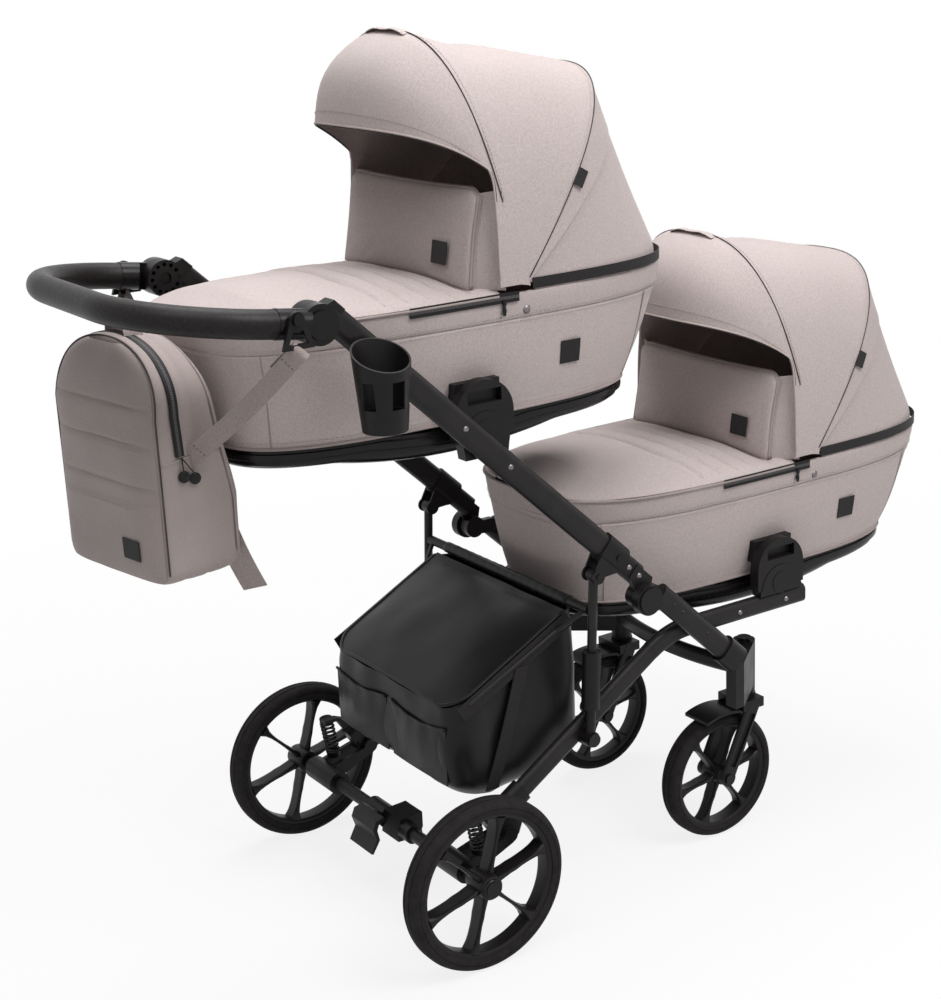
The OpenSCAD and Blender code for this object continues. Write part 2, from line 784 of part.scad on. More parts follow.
module leg_mounts() {
  p = [mount_x[1], mount_z[1]];
  base = bend[1] + leg_h / 2;
  color("#242324") place() pair() {
    difference() {
      union() {
        cot_dome(1, p[1] - base - 0.5);
        translate([p[0] - 46, -mount_in - 21, base - 1]) cube([92, 21, 10]);
        translate([p[0], -mount_in - 21 - 0.5, p[1] + 10]) rotate([90, 0, 0])
          translate([0, 0, -1]) cylinder(r = 19, h = 1.4);
      }
      oval_bar([hub_x + 120, bend[1]], [hub_x + leg_reach, bend[1]], leg_h + 2 * seat, leg_t + 2 * seat, -leg_y);
    }
  }
}

// Castings that hold the axle under the ends of the legs, with the seats of the springs.
module axle_brackets() {
  rise = unit(bend - leg_end);
  top = spring_high;
  color("#1f1d1e") place() pair() difference() {
    union() {
      oval_bar(leg_end - rise * 4, leg_end + rise * 78, leg_h + 9, leg_t + 8, -leg_y);
      plate([leg_end + [4, 14], leg_end + [66, 22], pivot_arm + [20, -6], pivot_arm + [-16, -10]],
        -leg_y - boss_half, -leg_y + boss_half);
      pin(pivot_arm, 16, -leg_y - boss_half, -leg_y + boss_half);
      // Arm that reaches over the spring
      plate([leg_end + [-2, 2], leg_end + [22, 24], top + [12, 10], top + [-12, 10], top + [-12, 4], top + [12, 4]],
        -leg_y - 10, -leg_y + 4);
      translate([top[0], -spring_y, top[1]]) rotate([0, -spring_lean, 0]) cylinder(r = 11.5, h = 8);
    }
    oval_bar(leg_end, leg_end + rise * 90, leg_h + 2 * seat, leg_t + 2 * seat, -leg_y);
    pin(pivot_arm, 6 + play, -leg_y - 20, -leg_y + 20);
  }
}

module leg_rivets() {
  y = -leg_y - leg_t / 2;
  color("#8a8686") place() pair() {
    for (x = [hub_x + 226, hub_x + 330]) rivet([x, bend[1]], y);
  }
}

// Rear axle

module rear_axle() {
  axle = [0, rear_r];
  end = rear_track / 2;
  color("#2d2b2c") place() {
    pin(axle, 11, -end + 28, end - 28);
    pair() {
      pin(axle, 8, -end - tyre_w / 2 - 5, -end + 29);
      pin(axle, 13, -end - tyre_w / 2 - 9, -end - tyre_w / 2 - 4.3);
    }
    pin(axle, 16, -86, -62);
    // Brake housing
    plate([[-16, rear_r - 18], [24, rear_r - 20], [32, rear_r - 4], [32, rear_r + 22], [-10, rear_r + 20]], -62, -10);
  }
}

// Arms that carry the axle and swing under the brackets.
module swing_arms() {
  axle = [0, rear_r];
  inner = -leg_y + boss_half + gap;
  outer = -leg_y - boss_half - gap - 8;
  color("#232122") place() pair() {
    difference() {
      union() {
        pin(axle, 20, -leg_y - 26, -leg_y + 60);
        for (y = [inner, outer]) {
          plate([axle + [0, -18], axle + [0, 12], pivot_arm + [-6, 2], pivot_arm + [4, -12.5]], y, y + 8);
          pin(pivot_arm, 12.5, y, y + 8);
        }
        translate([spring_low[0], -spring_y, spring_low[1]]) rotate([0, -spring_lean, 0]) translate([0, 0, -9])
          cylinder(r = 12, h = 9);
      }
      pin(axle, 11, -leg_y - 30, -leg_y + 70);
    }
    pin(pivot_arm, 6, outer + 4, inner + 4);
  }
}

spring_r = 9.5;
wire_r = 1.7;

function helix_at(t) = let (v = spring_high - spring_low, d = unit(v), a = 360 * spring_curls * t,
  p = spring_low + d * (wire_r + 0.4 + t * (norm(v) - 2 * wire_r - 0.8)), side_x = [d[1], -d[0]])
  [p[0] + side_x[0] * spring_r * cos(a), spring_r * sin(a), p[1] + side_x[1] * spring_r * cos(a)];

helix_n = spring_curls * 8;
helix = [for (i = [0:helix_n]) helix_at(i / helix_n)];
spring_gap = min([for (i = [0:helix_n - 6], j = [i + 5:helix_n]) norm(helix[i] - helix[j])]) - 2 * wire_r;
echo(spring_gap = spring_gap);

// Ring of wire round one point of the helix.
function wire_ring(i) = let (a = helix[max(i - 1, 0)], b = helix[min(i + 1, helix_n)], t = unit(b - a),
  n = unit(cross3([0.2, 0.1, 1], t)), o = cross3(t, n))
  [for (k = [0:5]) helix[i] + wire_r * (cos(60 * k) * n + sin(60 * k) * o)];
function cross3(a, b) = [a[1] * b[2] - a[2] * b[1], a[2] * b[0] - a[0] * b[2], a[0] * b[1] - a[1] * b[0]];

module springs() {
  color("#4a4848") place() pair() translate([0, -spring_y, 0])
    skin([for (i = [0:helix_n]) wire_ring(i)]);
}

// S-shaped foot pad on a hub that turns on the axle.
module brake_pedal() {
  axle = [0, rear_r];
  color("#1e1c1d") place() difference() {
    union() {
      pin(axle, 19, -9.5, 44);
      plate([axle + [-8, 10], axle + [-30, 24], axle + [-46, 20], axle + [-52, 6], axle + [-46, -12],
        axle + [-58, -34], axle + [-54, -36], axle + [-40, -14], axle + [-44, 4], axle + [-40, 14],
        axle + [-28, 16], axle + [-8, -8]], -9.5, 26);
      plate([axle + [-27, 18], axle + [-30, 24], axle + [-46, 20], axle + [-52, 6], axle + [-46, -12],
        axle + [-58, -34], axle + [-54, -36], axle + [-40, -14], axle + [-44, 4], axle + [-40, 14]], -44, 26);
    }
    pin(axle, 11 + play, -12, 70);
  }
}

// Carrycots, drawn for the rear one and moved for the front one

module cot(k) {
  translate(middle + [k * cot_step_x, 0, -k * cot_step_z]) children();
}

// Closed outline of a carrycot with blunt ends, at half width w between two ends.
function cot_ring(x1, x2, w, e, z) = [for (k = [0:cot_n - 1]) let (a = k * 360 / cot_n)
  [(x1 + x2) / 2 + (x2 - x1) / 2 * spow(cos(a), e), w * spow(sin(a), e), z]];

cot_n = 48;
tray_w = cot_w / 2 - 26;
base_w = cot_w / 2 - 29;
band_w = cot_w / 2 - 6;
band_z = rim_z - 39;

module cot_tray(k) {
  low = tray_top - 50;
  function rocker(x1, x2, w, up) = [for (q = cot_ring(x1, x2, w, 0.66, 0))
    [q[0], q[1], min(tray_top - 5, low + up + 0.00043 * pow(q[0] - 60, 2))]];
  color("#302e2f") cot(k) skin([rocker(foot_x + 90, head_x - 150, 120, 0),
    rocker(foot_x + 50, head_x - 92, 160, 9), rocker(foot_x + 40, head_x - 80, 173, 20),
    cot_ring(foot_x + 32, head_x - 70, tray_w, 0.62, tray_top - 4),
    cot_ring(foot_x + 32, head_x - 70, tray_w, 0.62, tray_top - 0.2)]);
}

module cot_body(k) {
  w = cot_w / 2;
  color("#b0a39d") cot(k) skin([cot_ring(foot_x + 36, head_x - 74, base_w, 0.6, tray_top),
    cot_ring(foot_x + 5, head_x - 8, band_w, 0.6, band_z), cot_ring(foot_x, head_x, w, 0.6, rim_z),
    cot_ring(foot_x + wall, head_x - wall, w - wall, 0.6, rim_z),
    cot_ring(foot_x + 36 + wall, head_x - 74 - wall, base_w - wall, 0.6, tray_top + 12)]);
}

apron_end = 128;
apron_t = 6;
flap_x = 88;
flap_w = 182;
flap_top = rim_z + 155;

// Edge of the apron, and its height above the rim at a place across it: a low crown and sewn channels.
function edge_y(x) = (cot_w / 2 - 1.5) * pow(1 - pow(min(1, abs(x - cot_mid) / (cot_l / 2 - 1.5)), 3.33), 0.3);
function channel(x) = x < -62 || x > 118 ? 0 : 3 * abs(sin(180 * (x + 62) / 36)) - 1.5;
function crown(x) = 24 * min(1, (x - foot_x) / 90) * (1 - 0.55 * clamp(x / flap_x, 0, 1));
function apron_rise(x, s) = max(0, crown(x) * (1 - s * s) + channel(x) * (1 - pow(s, 4)));

// Apron over the foot half of the carrycot.
module cot_apron(k) {
  rows = 30;
  cols = 12;
  function spot(i, j, d) = let (u = i / rows, x = foot_x + 4 + (apron_end - foot_x - 4) * (0.7 * u + 0.3 * u * u),
    s = j / cols * 2 - 1) [x, edge_y(x) * s, rim_z + 0.2 + apron_rise(x, s) + d];
  color("#bdb0aa") cot(k) sheet([for (i = [0:rows]) [for (j = [0:cols]) spot(i, j, apron_t)]],
    [for (i = [0:rows]) [for (j = [0:cols]) spot(i, j, 0)]]);
}

// Upright padded flap sewn across the apron, crowned, with its sides drawn in.
module cot_flap(k) {
  rows = 10;
  cols = 14;
  function puff(u, s) = 13 * pow((1 - pow(abs(s), 6)) * (1 - pow(abs(2 * u - 1), 6)), 0.5);
  function spot(i, j, d) = let (u = i / rows, s = j / cols * 2 - 1, y = s * flap_w * (1 - 0.02 * sin(180 * u)),
    low = rim_z + apron_t + 1.7 + apron_rise(flap_x, y / edge_y(flap_x)))
    [flap_x + 24 * u + 5 * s * s - d * (3 + puff(u, s)), y, low + (flap_top - 3 * cos(90 * s) - low) * u];
  color("#a99c96") cot(k) sheet([for (i = [0:rows]) [for (j = [0:cols]) spot(rows - i, j, -1)]],
    [for (i = [0:rows]) [for (j = [0:cols]) spot(rows - i, j, 1)]]);
}

// Arched grips on both sides of a carrycot, which sit over the domes of the frame.
module cot_grips(k) {
  p = [mount_x[0], mount_z[0]];
  slope = (band_w - base_w) / (band_z - tray_top);
  function skin_y(z) = -base_w - (z - tray_top) * slope - gap;
  color("#1d1c1c") cot(k) pair() difference() {
    union() {
      pin(p + [0, 38], 51, -mount_in - 20, -mount_in);
      plate([p + [-51, 2], p + [51, 2], p + [51, 40], p + [-51, 40]], -mount_in - 20, -mount_in);
      // Pad that follows the slope of the cloth side
      translate([p[0] - 40, 0, 0]) rotate([90, 0, 90]) linear_extrude(80) polygon([
        [-mount_in - 1, p[1] + 46], [-mount_in - 1, p[1] + 84],
        [skin_y(p[1] + 84), p[1] + 84], [skin_y(p[1] + 46), p[1] + 46]]);
    }
    pin(p, dome_r + gap, -mount_in - 30, -mount_in + 1);
    plate([p + [-dome_r - gap, -10], p + [dome_r + gap, -10], p + [dome_r + gap, 0], p + [-dome_r - gap, 0]],
      -mount_in - 30, -mount_in + 1);
    translate([p[0] - 30, -mount_in - 30, p[1] + 54]) cube([60, 22, 20]);
  }
}

hood_cols = 22;
front_lean = -12.4;
seam_lean = 36;
edge_lean = 47;
hood_front_w = cot_w / 2 + 4.5;
hood_back_w = cot_w / 2 - 1;
front_top = hood_r * [sin(front_lean), cos(front_lean)];
seam_top = (hood_r - 3) * [sin(seam_lean), cos(seam_lean)];
back_top = [head_x - 4 - hood_axis[0], 0];

// Radius at a lean of the straight line between two side view points about the hood's axis.
function turn2(u, v) = u[0] * v[1] - u[1] * v[0];
function line_r(p, q, a) = turn2(p, q - p) / turn2([sin(a), cos(a)], q - p);
function hood_radius(a) = a < seam_lean ? line_r(front_top, seam_top, a) : line_r(seam_top, back_top, a)
  - 5 * sin(180 * (a - seam_lean) / (90 - seam_lean));
function bow_power(a) = 2.7 + 0.6 * clamp((a - seam_lean) / (90 - seam_lean), 0, 1);
function hood_angle(j) = j == 0 ? 0.8 : j == hood_cols ? 179.2 : 180 * j / hood_cols;

// Point on a hood bow: half width w, radius r, at the bow's lean and the angle over it.
function bow(w, r, lean, a) = let (n = bow_power(lean), h = max(r * pow(max(sin(a), 0), 2 / n), 16))
  [hood_axis[0] + h * sin(lean), -w * spow(cos(a), 2 / n), hood_axis[1] + h * cos(lean)];

// Fixed back of the hood, down to the rim, with the two brackets that hold the front.
module hood_back(k) {
  rows = 8;
  first = edge_lean - 4;
  function row(i, d) = let (lean = first + (90 - first) * min(i, rows) / rows,
    r = min(hood_radius(lean), hood_radius(edge_lean) - 4.5) - d)
    [for (j = [0:hood_cols]) let (q = bow(hood_back_w - d, r, lean, hood_angle(j)))
      i > rows ? [q[0], q[1], rim_z + 0.2] : q];
  color("#b8aba5") cot(k) {
    sheet([for (i = [0:rows + 1]) row(i, 0)], [for (i = [0:rows + 1]) row(i, 3)]);
    pair() difference() {
      translate([hood_axis[0] - 10, -cot_w / 2, rim_z]) cube([20, wall - 1, 14]);
      pin(hood_axis, 4 + play, -cot_w / 2 - 1, -cot_w / 2 + wall);
    }
  }
}

// Moving front of the hood, with the visor that hangs from its first bow.
module hood_front(k) {
  rows = 5;
  tail = 2;
  brim = 4;
  function reach(a) = a < 21.5 || a > 158.5 ? 0 : sin(1.314 * (a - 21.5));
  function lean_at(i) = i <= rows ? front_lean + (seam_lean - front_lean) * i / rows
    : seam_lean + (edge_lean - seam_lean) * (i - rows) / tail;
  function over(i, j, d) = bow(hood_front_w - d, hood_radius(lean_at(i)) - d, lean_at(i), hood_angle(j));
  function peak(i, j, d) = let (p = over(0, j, d), u = i / brim, s = reach(hood_angle(j)))
    p + [-86 * s * u - 22 * s * sin(180 * u) - 6 * u, 0, -132 * s * u * (0.5 + 0.5 * u)];
  function grid(d) = concat([for (i = [brim:-1:1]) [for (j = [0:hood_cols]) peak(i, j, d)]],
    [for (i = [0:rows + tail]) [for (j = [0:hood_cols]) over(i, j, d)]]);
  color("#c2b5af") cot(k) {
    sheet(grid(0), grid(3));
    pair() {
      pin(hood_axis, 20, -hood_front_w, -hood_front_w + 3);
      pin(hood_axis, 4, -hood_front_w + 2, -cot_w / 2 + wall - 1);
    }
  }
}

module rear_cot_tray() {
  cot_tray(0);
}

module rear_cot_body() {
  cot_body(0);
}

module rear_cot_apron() {
  cot_apron(0);
}

module rear_cot_flap() {
  cot_flap(0);
}

module rear_cot_grips() {
  cot_grips(0);
}

module rear_hood_back() {
  hood_back(0);
}

module rear_hood_front() {
  hood_front(0);
}

module front_cot_tray() {
  cot_tray(1);
}

module front_cot_body() {
  cot_body(1);
}

module front_cot_apron() {
  cot_apron(1);
}

module front_cot_flap() {
  cot_flap(1);
}

module front_cot_grips() {
  cot_grips(1);
}

module front_hood_back() {
  hood_back(1);
}

module front_hood_front() {
  hood_front(1);
}

push_tube_right();
push_tube_left();
hinge_arms();
strut_brackets();
push_mounts();
handle_knuckles();
cup_holder();
push_rivets();
handle_grip();
handle_cuffs();
handle_button_right();
handle_button_left();
strap_hooks();
backpack();
backpack_straps();
front_leg_right();
front_leg_left();
fold_knobs();
castor_heads();
front_cross_bar();
swivel_lock_right();
swivel_lock_left();
castor_fork_right();
castor_fork_left();
front_rim_right();
front_tyre_right();
front_rim_left();
front_tyre_left();
strut_rods();
strut_sleeves();
basket_rail();
basket();
basket_lid();
rear_leg_right();
rear_leg_left();
leg_mounts();
axle_brackets();
leg_rivets();
rear_axle();
swing_arms();
springs();
brake_pedal();
rear_rim_right();
rear_tyre_right();
rear_rim_left();
rear_tyre_left();
rear_cot_tray();
rear_cot_body();
rear_cot_apron();
rear_cot_flap();
rear_cot_grips();
rear_hood_back();
rear_hood_front();
front_cot_tray();
front_cot_body();
front_cot_apron();
front_cot_flap();
front_cot_grips();
front_hood_back();
front_hood_front();
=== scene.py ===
"""Twin pram: its cloth, webbing, wheels and finishes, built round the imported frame.

Sizes are millimetres from the floor under the middle of the rear axle, x forwards to the front castors,
y to the far side and z up. here() turns such a place into the row's own frame in metres.
"""
import json
import logging
import math
from collections.abc import Callable, Sequence
from dataclasses import dataclass
from enum import Enum

import bmesh
import bpy
from mathutils import Matrix, Vector, noise


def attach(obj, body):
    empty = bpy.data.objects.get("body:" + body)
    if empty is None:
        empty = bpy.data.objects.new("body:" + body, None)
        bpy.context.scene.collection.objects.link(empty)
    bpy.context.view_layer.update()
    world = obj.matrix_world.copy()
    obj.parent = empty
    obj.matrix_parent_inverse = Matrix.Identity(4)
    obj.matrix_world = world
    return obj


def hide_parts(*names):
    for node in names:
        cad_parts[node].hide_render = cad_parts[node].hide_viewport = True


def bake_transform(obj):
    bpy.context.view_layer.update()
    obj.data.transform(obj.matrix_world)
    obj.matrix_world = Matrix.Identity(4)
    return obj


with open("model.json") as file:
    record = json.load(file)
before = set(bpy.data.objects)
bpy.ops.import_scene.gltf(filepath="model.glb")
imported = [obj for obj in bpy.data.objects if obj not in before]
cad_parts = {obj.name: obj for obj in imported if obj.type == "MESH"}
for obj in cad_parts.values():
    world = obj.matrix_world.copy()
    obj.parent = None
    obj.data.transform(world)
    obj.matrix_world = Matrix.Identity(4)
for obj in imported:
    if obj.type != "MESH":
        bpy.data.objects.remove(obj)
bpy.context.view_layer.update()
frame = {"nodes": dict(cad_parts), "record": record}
LOG = logging.getLogger("twin_pram")
Colour = tuple[float, float, float, float]
Spot = tuple[float, float, float]


def rear_axle() -> Vector:
    """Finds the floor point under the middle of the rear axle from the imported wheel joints.

    Returns:
        The point in the row's frame.
    """
    spots = {j["name"]: j.get("pos_m") for j in frame["record"]["behaviour"]["joints"]}
    right = Vector(spots["rear_wheel_right_spin"])
    left = Vector(spots["rear_wheel_left_spin"])
    return Vector((right.x, (right.y + left.y) / 2, 0.0))


AXLE = rear_axle()
FORWARDS = Vector((1, 0, 0))
SIDEWAYS = Vector((0, 1, 0))
UPWARDS = Vector((0, 0, 1))


def here(x: float, y: float, z: float) -> Vector:
    """Turns millimetres from the rear axle into metres in the row's frame."""
    return Vector((AXLE.x + x / 1000, AXLE.y + y / 1000, z / 1000))


def linear(code: str) -> Colour:
    """Turns an sRGB hex code into a linear colour.

    Args:
        code: the colour as #RRGGBB.

    Returns:
        Red, green and blue in linear light, and an alpha of 1.
    """
    parts = [int(code[i:i + 2], 16) / 255 for i in (1, 3, 5)]
    light = [c / 12.92 if c <= 0.04045 else ((c + 0.055) / 1.055) ** 2.4 for c in parts]
    return (light[0], light[1], light[2], 1.0)


def spow(value: float, power: float) -> float:
    """Raises a value to a power and keeps its sign."""
    return math.copysign(abs(value) ** power, value)


def clamp(value: float) -> float:
    """Holds a value between 0 and 1."""
    return max(0.0, min(1.0, value))


def blend(a: float, b: float, t: float) -> float:
    """Goes from a to b as t goes from 0 to 1."""
    return a + (b - a) * t


def spaced(count: int, low: float = 0.0, high: float = 1.0) -> list[float]:
    """Spaces values evenly from low to high."""
    return [blend(low, high, i / (count - 1)) for i in range(count)]


def crowded(count: int, power: float) -> list[float]:
    """Spaces values from -1 to 1, closer together towards both ends."""
    return [spow(math.sin(math.pi * (t - 0.5)), power) for t in spaced(count)]


def along(points: Sequence[tuple[float, float]], x: float) -> float:
    """Reads a bent line at x.

    Args:
        points: the line's corners in order of rising x.
        x: where to read it.

    Returns:
        The line's height there, level beyond its ends.
    """
    if x <= points[0][0]:
        return points[0][1]
    for (xa, za), (xb, zb) in zip(points, points[1:]):
        if x <= xb:
            return blend(za, zb, (x - xa) / (xb - xa))
    return points[-1][1]


def even(points: Sequence[Vector], count: int, closed: bool = False) -> list[Vector]:
    """Spaces points evenly along a line.

    Args:
        points: the line's own points.
        count: how many to return.
        closed: whether the line runs back to its start.

    Returns:
        The evenly spaced points.
    """
    line = list(points) + ([points[0]] if closed else [])
    run = [0.0]
    for a, b in zip(line, line[1:]):
        run.append(run[-1] + (b - a).length)
    spaced = []
    k = 0
    for i in range(count):
        want = run[-1] * i / (count if closed else count - 1)
        while k < len(run) - 2 and run[k + 1] < want:
            k += 1
        span = max(run[k + 1] - run[k], 1e-12)
        spaced.append(line[k].lerp(line[k + 1], clamp((want - run[k]) / span)))
    return spaced


class Grain(Enum):
    """What a finish's surface is made of, which picks the nodes that draw it."""

    HEATHER = "melange weave"
    TWILL = "smooth twill"
    NYLON = "plain black weave"
    WEBBING = "ribbed webbing"
    ZIP = "zip tape and teeth"
    LEATHER = "grained leatherette"
    COAT = "powder coat"
    MOULDED = "moulded plastic"
    RUBBER = "foam rubber"
    METAL = "drawn steel"


@dataclass(frozen=True)
class Finish:
    """One real material: its colours, its gloss and its grain.

    Args:
        name: the material's name.
        grain: what its surface is made of.
        colour: its main sRGB colour.
        second: the colour that its pattern goes to.
        rough: its mean roughness.
        pitch: the size of its pattern in millimetres.
        relief: the height of its pattern in millimetres.
    """

    name: str
    grain: Grain
    colour: str
    second: str
    rough: float
    pitch: float
    relief: float

    def material(self) -> bpy.types.Material:
        """Gives the Blender material, and makes it the first time.

        Returns:
            The material with its node tree.
        """
        known = bpy.data.materials.get(self.name)
        if known:
            return known
        made = bpy.data.materials.new(self.name)
        made.use_nodes = True
        tree = made.node_tree
        tree.nodes.clear()
        coords = tree.nodes.new("ShaderNodeTexCoord")
        tone, height = self.pattern(tree, coords)
        ramp = add_node(tree, "MapRange", {"Value": tone, "From Min": 0.32, "From Max": 0.68}, clamp=True)
        paint = add_node(tree, "Mix", {"Factor": ramp, 6: linear(self.second), 7: linear(self.colour)}, 2,
                         data_type="RGBA")
        gloss = add_node(tree, "MapRange", {"Value": tone, "From Min": 0.3, "From Max": 0.7,
                                            "To Min": self.rough + 0.05, "To Max": self.rough - 0.05})
        bump = add_node(tree, "Bump", {"Height": height, "Distance": self.relief / 1000, "Strength": 0.6})
        skin = add_node(tree, "BsdfPrincipled", {"Roughness": self.rough, **self.evens()})
        for socket, name in ((paint, "Base Color"), (gloss, "Roughness"), (bump, "Normal")):
            tree.links.new(socket, skin.node.inputs[name])
        out = tree.nodes.new("ShaderNodeOutputMaterial")
        tree.links.new(skin, out.inputs["Surface"])
        return made

    def evens(self) -> dict[str, float]:
        """Gives the shader's values that are the same all over the surface.

        Returns:
            A value for each of those inputs by name.
        """
        if self.grain in (Grain.HEATHER, Grain.TWILL):
            return {"Sheen Weight": 0.12, "Sheen Roughness": 0.6, "Specular IOR Level": 0.15}
        if self.grain in (Grain.NYLON, Grain.WEBBING):
            return {"Sheen Weight": 0.05, "Specular IOR Level": 0.2}
        if self.grain is Grain.METAL:
            return {"Metallic": 1.0}
        # Black mouldings in a white studio: a low gloss keeps them as deep as they are.
        return {"Specular IOR Level": 0.1 if self.grain is Grain.RUBBER else 0.2}

    def pattern(self, tree: bpy.types.NodeTree,
                coords: bpy.types.Node) -> tuple[bpy.types.NodeSocket, bpy.types.NodeSocket]:
        """Draws the grain.

        Args:
            tree: the material's nodes.
            coords: its texture coordinates.

        Returns:
            The pattern's tone, about 0.5 on the whole, and its height.
        """
        place = coords.outputs["Object"]
        scale = 1000 / self.pitch
        if self.grain is Grain.HEATHER:
            # Fine specks over short slubs along both threads give the pepper-and-salt of melange.
            warp = threads(tree, place, (scale * 0.28, scale, scale))
            weft = threads(tree, place, (scale, scale * 0.28, scale * 0.28))
            both = add_node(tree, "Math", {0: warp, 1: weft}, operation="ADD")
            speck = add_node(tree, "TexNoise", {"Vector": place, "Scale": scale * 1.1, "Detail": 3})
            tone = weighed(tree, both, 0.28, speck, 0.44)
            return tone, tone
        if self.grain is Grain.TWILL:
            # Fine slanting ribs and a slow drift of shade, as a coated twill has.
            rib = threads(tree, place, (scale, scale * 0.5, scale * 0.5))
            drift = add_node(tree, "TexNoise", {"Vector": place, "Scale": 6, "Detail": 2})
            return weighed(tree, rib, 0.5, drift, 0.5), rib
        if self.grain is Grain.NYLON:
            # Crossing threads catch the light as tiny squares.
            over, up = (add_node(tree, "TexWave", {"Vector": place, "Scale": scale / 6.3}, "Fac",
                                 bands_direction=way) for way in "XZ")
            weave = add_node(tree, "Math", {0: over, 1: up}, operation="MULTIPLY")
            drift = add_node(tree, "TexNoise", {"Vector": place, "Scale": 14, "Detail": 3})
            return weighed(tree, weave, 0.2, drift, 0.85), weave
        if self.grain in (Grain.WEBBING, Grain.ZIP):
            # Ribs run across the tape; on a zip the teeth stand in its middle.
            tape = add_node(tree, "SeparateXYZ", {"Vector": coords.outputs["UV"]}).node
            run = add_node(tree, "Math", {0: tape.outputs["Y"], 1: 6283 / self.pitch}, operation="MULTIPLY")
            rib = add_node(tree, "Math", {0: run}, operation="SINE")
            wave = add_node(tree, "Math", {0: rib, 1: 0.5, 2: 0.5}, operation="MULTIPLY_ADD")
            if self.grain is Grain.WEBBING:
                fluff = add_node(tree, "TexNoise", {"Vector": place, "Scale": 400, "Detail": 2})
                return weighed(tree, wave, 0.3, fluff, 0.7), wave
            off = add_node(tree, "Math", {0: tape.outputs["X"]}, operation="ABSOLUTE")
            middle = add_node(tree, "Math", {0: off, 1: 0.0024}, operation="LESS_THAN")
            teeth = add_node(tree, "Math", {0: middle, 1: wave}, operation="MULTIPLY")
            return add_node(tree, "Math", {0: teeth, 1: 0.5, 2: 0.3}, operation="MULTIPLY_ADD"), teeth
        if self.grain is Grain.LEATHER:
            # Pebbles of uneven size with dark creases between them.
            cells = add_node(tree, "TexVoronoi", {"Vector": place, "Scale": scale}, "Distance",
                             feature="DISTANCE_TO_EDGE")
            drift = add_node(tree, "TexNoise", {"Vector": place, "Scale": scale * 0.4, "Detail": 3})
            tone = weighed(tree, cells, 0.5, drift, 0.75)
            return tone, tone
        if self.grain is Grain.RUBBER:
            # Foamed skin: soft mottling with open pores.
            cells = add_node(tree, "TexVoronoi", {"Vector": place, "Scale": scale}, "Distance")
            drift = add_node(tree, "TexNoise", {"Vector": place, "Scale": 60, "Detail": 4})
            return weighed(tree, cells, 0.35, drift, 0.7), cells
        if self.grain is Grain.METAL:
            # Drawing lines run one way along the steel.
            lines = threads(tree, place, (60, scale, scale))
            return lines, lines
        # Powder coat has orange peel and moulded plastic a spark-eroded stipple; both shift in shade.
        stipple = add_node(tree, "TexNoise", {"Vector": place, "Scale": scale, "Detail": 2})
        drift = add_node(tree, "TexNoise", {"Vector": place, "Scale": 25, "Detail": 2})
        return weighed(tree, drift, 0.6, stipple, 0.4), stipple


def add_node(tree: bpy.types.NodeTree, kind: str, links: dict, out: int | str = 0,
             **settings: object) -> bpy.types.NodeSocket:
    """Adds a node with its settings, values and links.

    Args:
        tree: the material's nodes.
        kind: the shader node's type.
        links: a value, or a socket to link, for each input by name or number.
        out: the output to return, by name or number.
        settings: the node's own properties.

    Returns:
        That output of the new node.
    """
    node = tree.nodes.new("ShaderNode" + kind)
    for key, value in settings.items():
        setattr(node, key, value)
    for key, value in links.items():
        if isinstance(value, bpy.types.NodeSocket):
            tree.links.new(value, node.inputs[key])
        else:
            node.inputs[key].default_value = value
    return node.outputs[out]


def weighed(tree: bpy.types.NodeTree, one: bpy.types.NodeSocket, share: float, other: bpy.types.NodeSocket,
            rest: float) -> bpy.types.NodeSocket:
    """Adds two patterns, each by its share, and returns the sum."""
    part = add_node(tree, "Math", {0: other, 1: rest}, operation="MULTIPLY")
    return add_node(tree, "Math", {0: one, 1: share, 2: part}, operation="MULTIPLY_ADD")


def threads(tree: bpy.types.NodeTree, place: bpy.types.NodeSocket, scale: Spot) -> bpy.types.NodeSocket:
    """Draws a pattern that is stretched into threads and returns its value."""
    stretched = add_node(tree, "Mapping", {"Vector": place, "Scale": scale})
    return add_node(tree, "TexNoise", {"Vector": stretched, "Scale": 1, "Detail": 2})


# Melange cot cloth: warm greige, pale threads over darker ones.
GREIGE = Finish("melange_greige_cloth", Grain.HEATHER, "#CCC0BE", "#A19491", 0.9, 1.2, 0.4)
# Bag cloth: smoother and a shade darker than the cots.
TAUPE = Finish("coated_taupe_twill", Grain.TWILL, "#A79B98", "#8F8380", 0.62, 0.9, 0.08)
# Lining: soft charcoal jersey that keeps the inside of the hoods dark.
LINING = Finish("charcoal_lining_jersey", Grain.HEATHER, "#1D1A1B", "#110F10", 0.92, 1.3, 0.3)
# Basket cloth: black nylon with a little shine on its folds.
NYLON = Finish("black_basket_nylon", Grain.NYLON, "#141213", "#0C0B0C", 0.36, 1.1, 0.1)
# Piping: dark rolled edge that draws the seams.
PIPING = Finish("dark_seam_piping", Grain.NYLON, "#4A4345", "#312C2E", 0.7, 0.8, 0.1)
# Pale piping: the hem of the visors.
HEM = Finish("pale_hem_piping", Grain.TWILL, "#C4B8B3", "#AA9E99", 0.7, 1.0, 0.1)
# Thread: light stitches that show the seams were sewn.
THREAD = Finish("light_sewing_thread", Grain.TWILL, "#BFB4AF", "#A2968F", 0.8, 0.6, 0.05)
DARK_THREAD = Finish("dark_sewing_thread", Grain.TWILL, "#5A5355", "#453F41", 0.8, 0.6, 0.05)
# Webbing: ribbed tape of the bag's straps.
STRAP = Finish("taupe_strap_webbing", Grain.WEBBING, "#A99D99", "#8E8280", 0.75, 1.8, 0.25)
BLACK_TAPE = Finish("black_binding_tape", Grain.WEBBING, "#262324", "#181617", 0.65, 1.6, 0.2)
# Zips: moulded teeth in a woven tape.
ZIP = Finish("black_coil_zip", Grain.ZIP, "#5A5657", "#191718", 0.45, 2.4, 0.6)
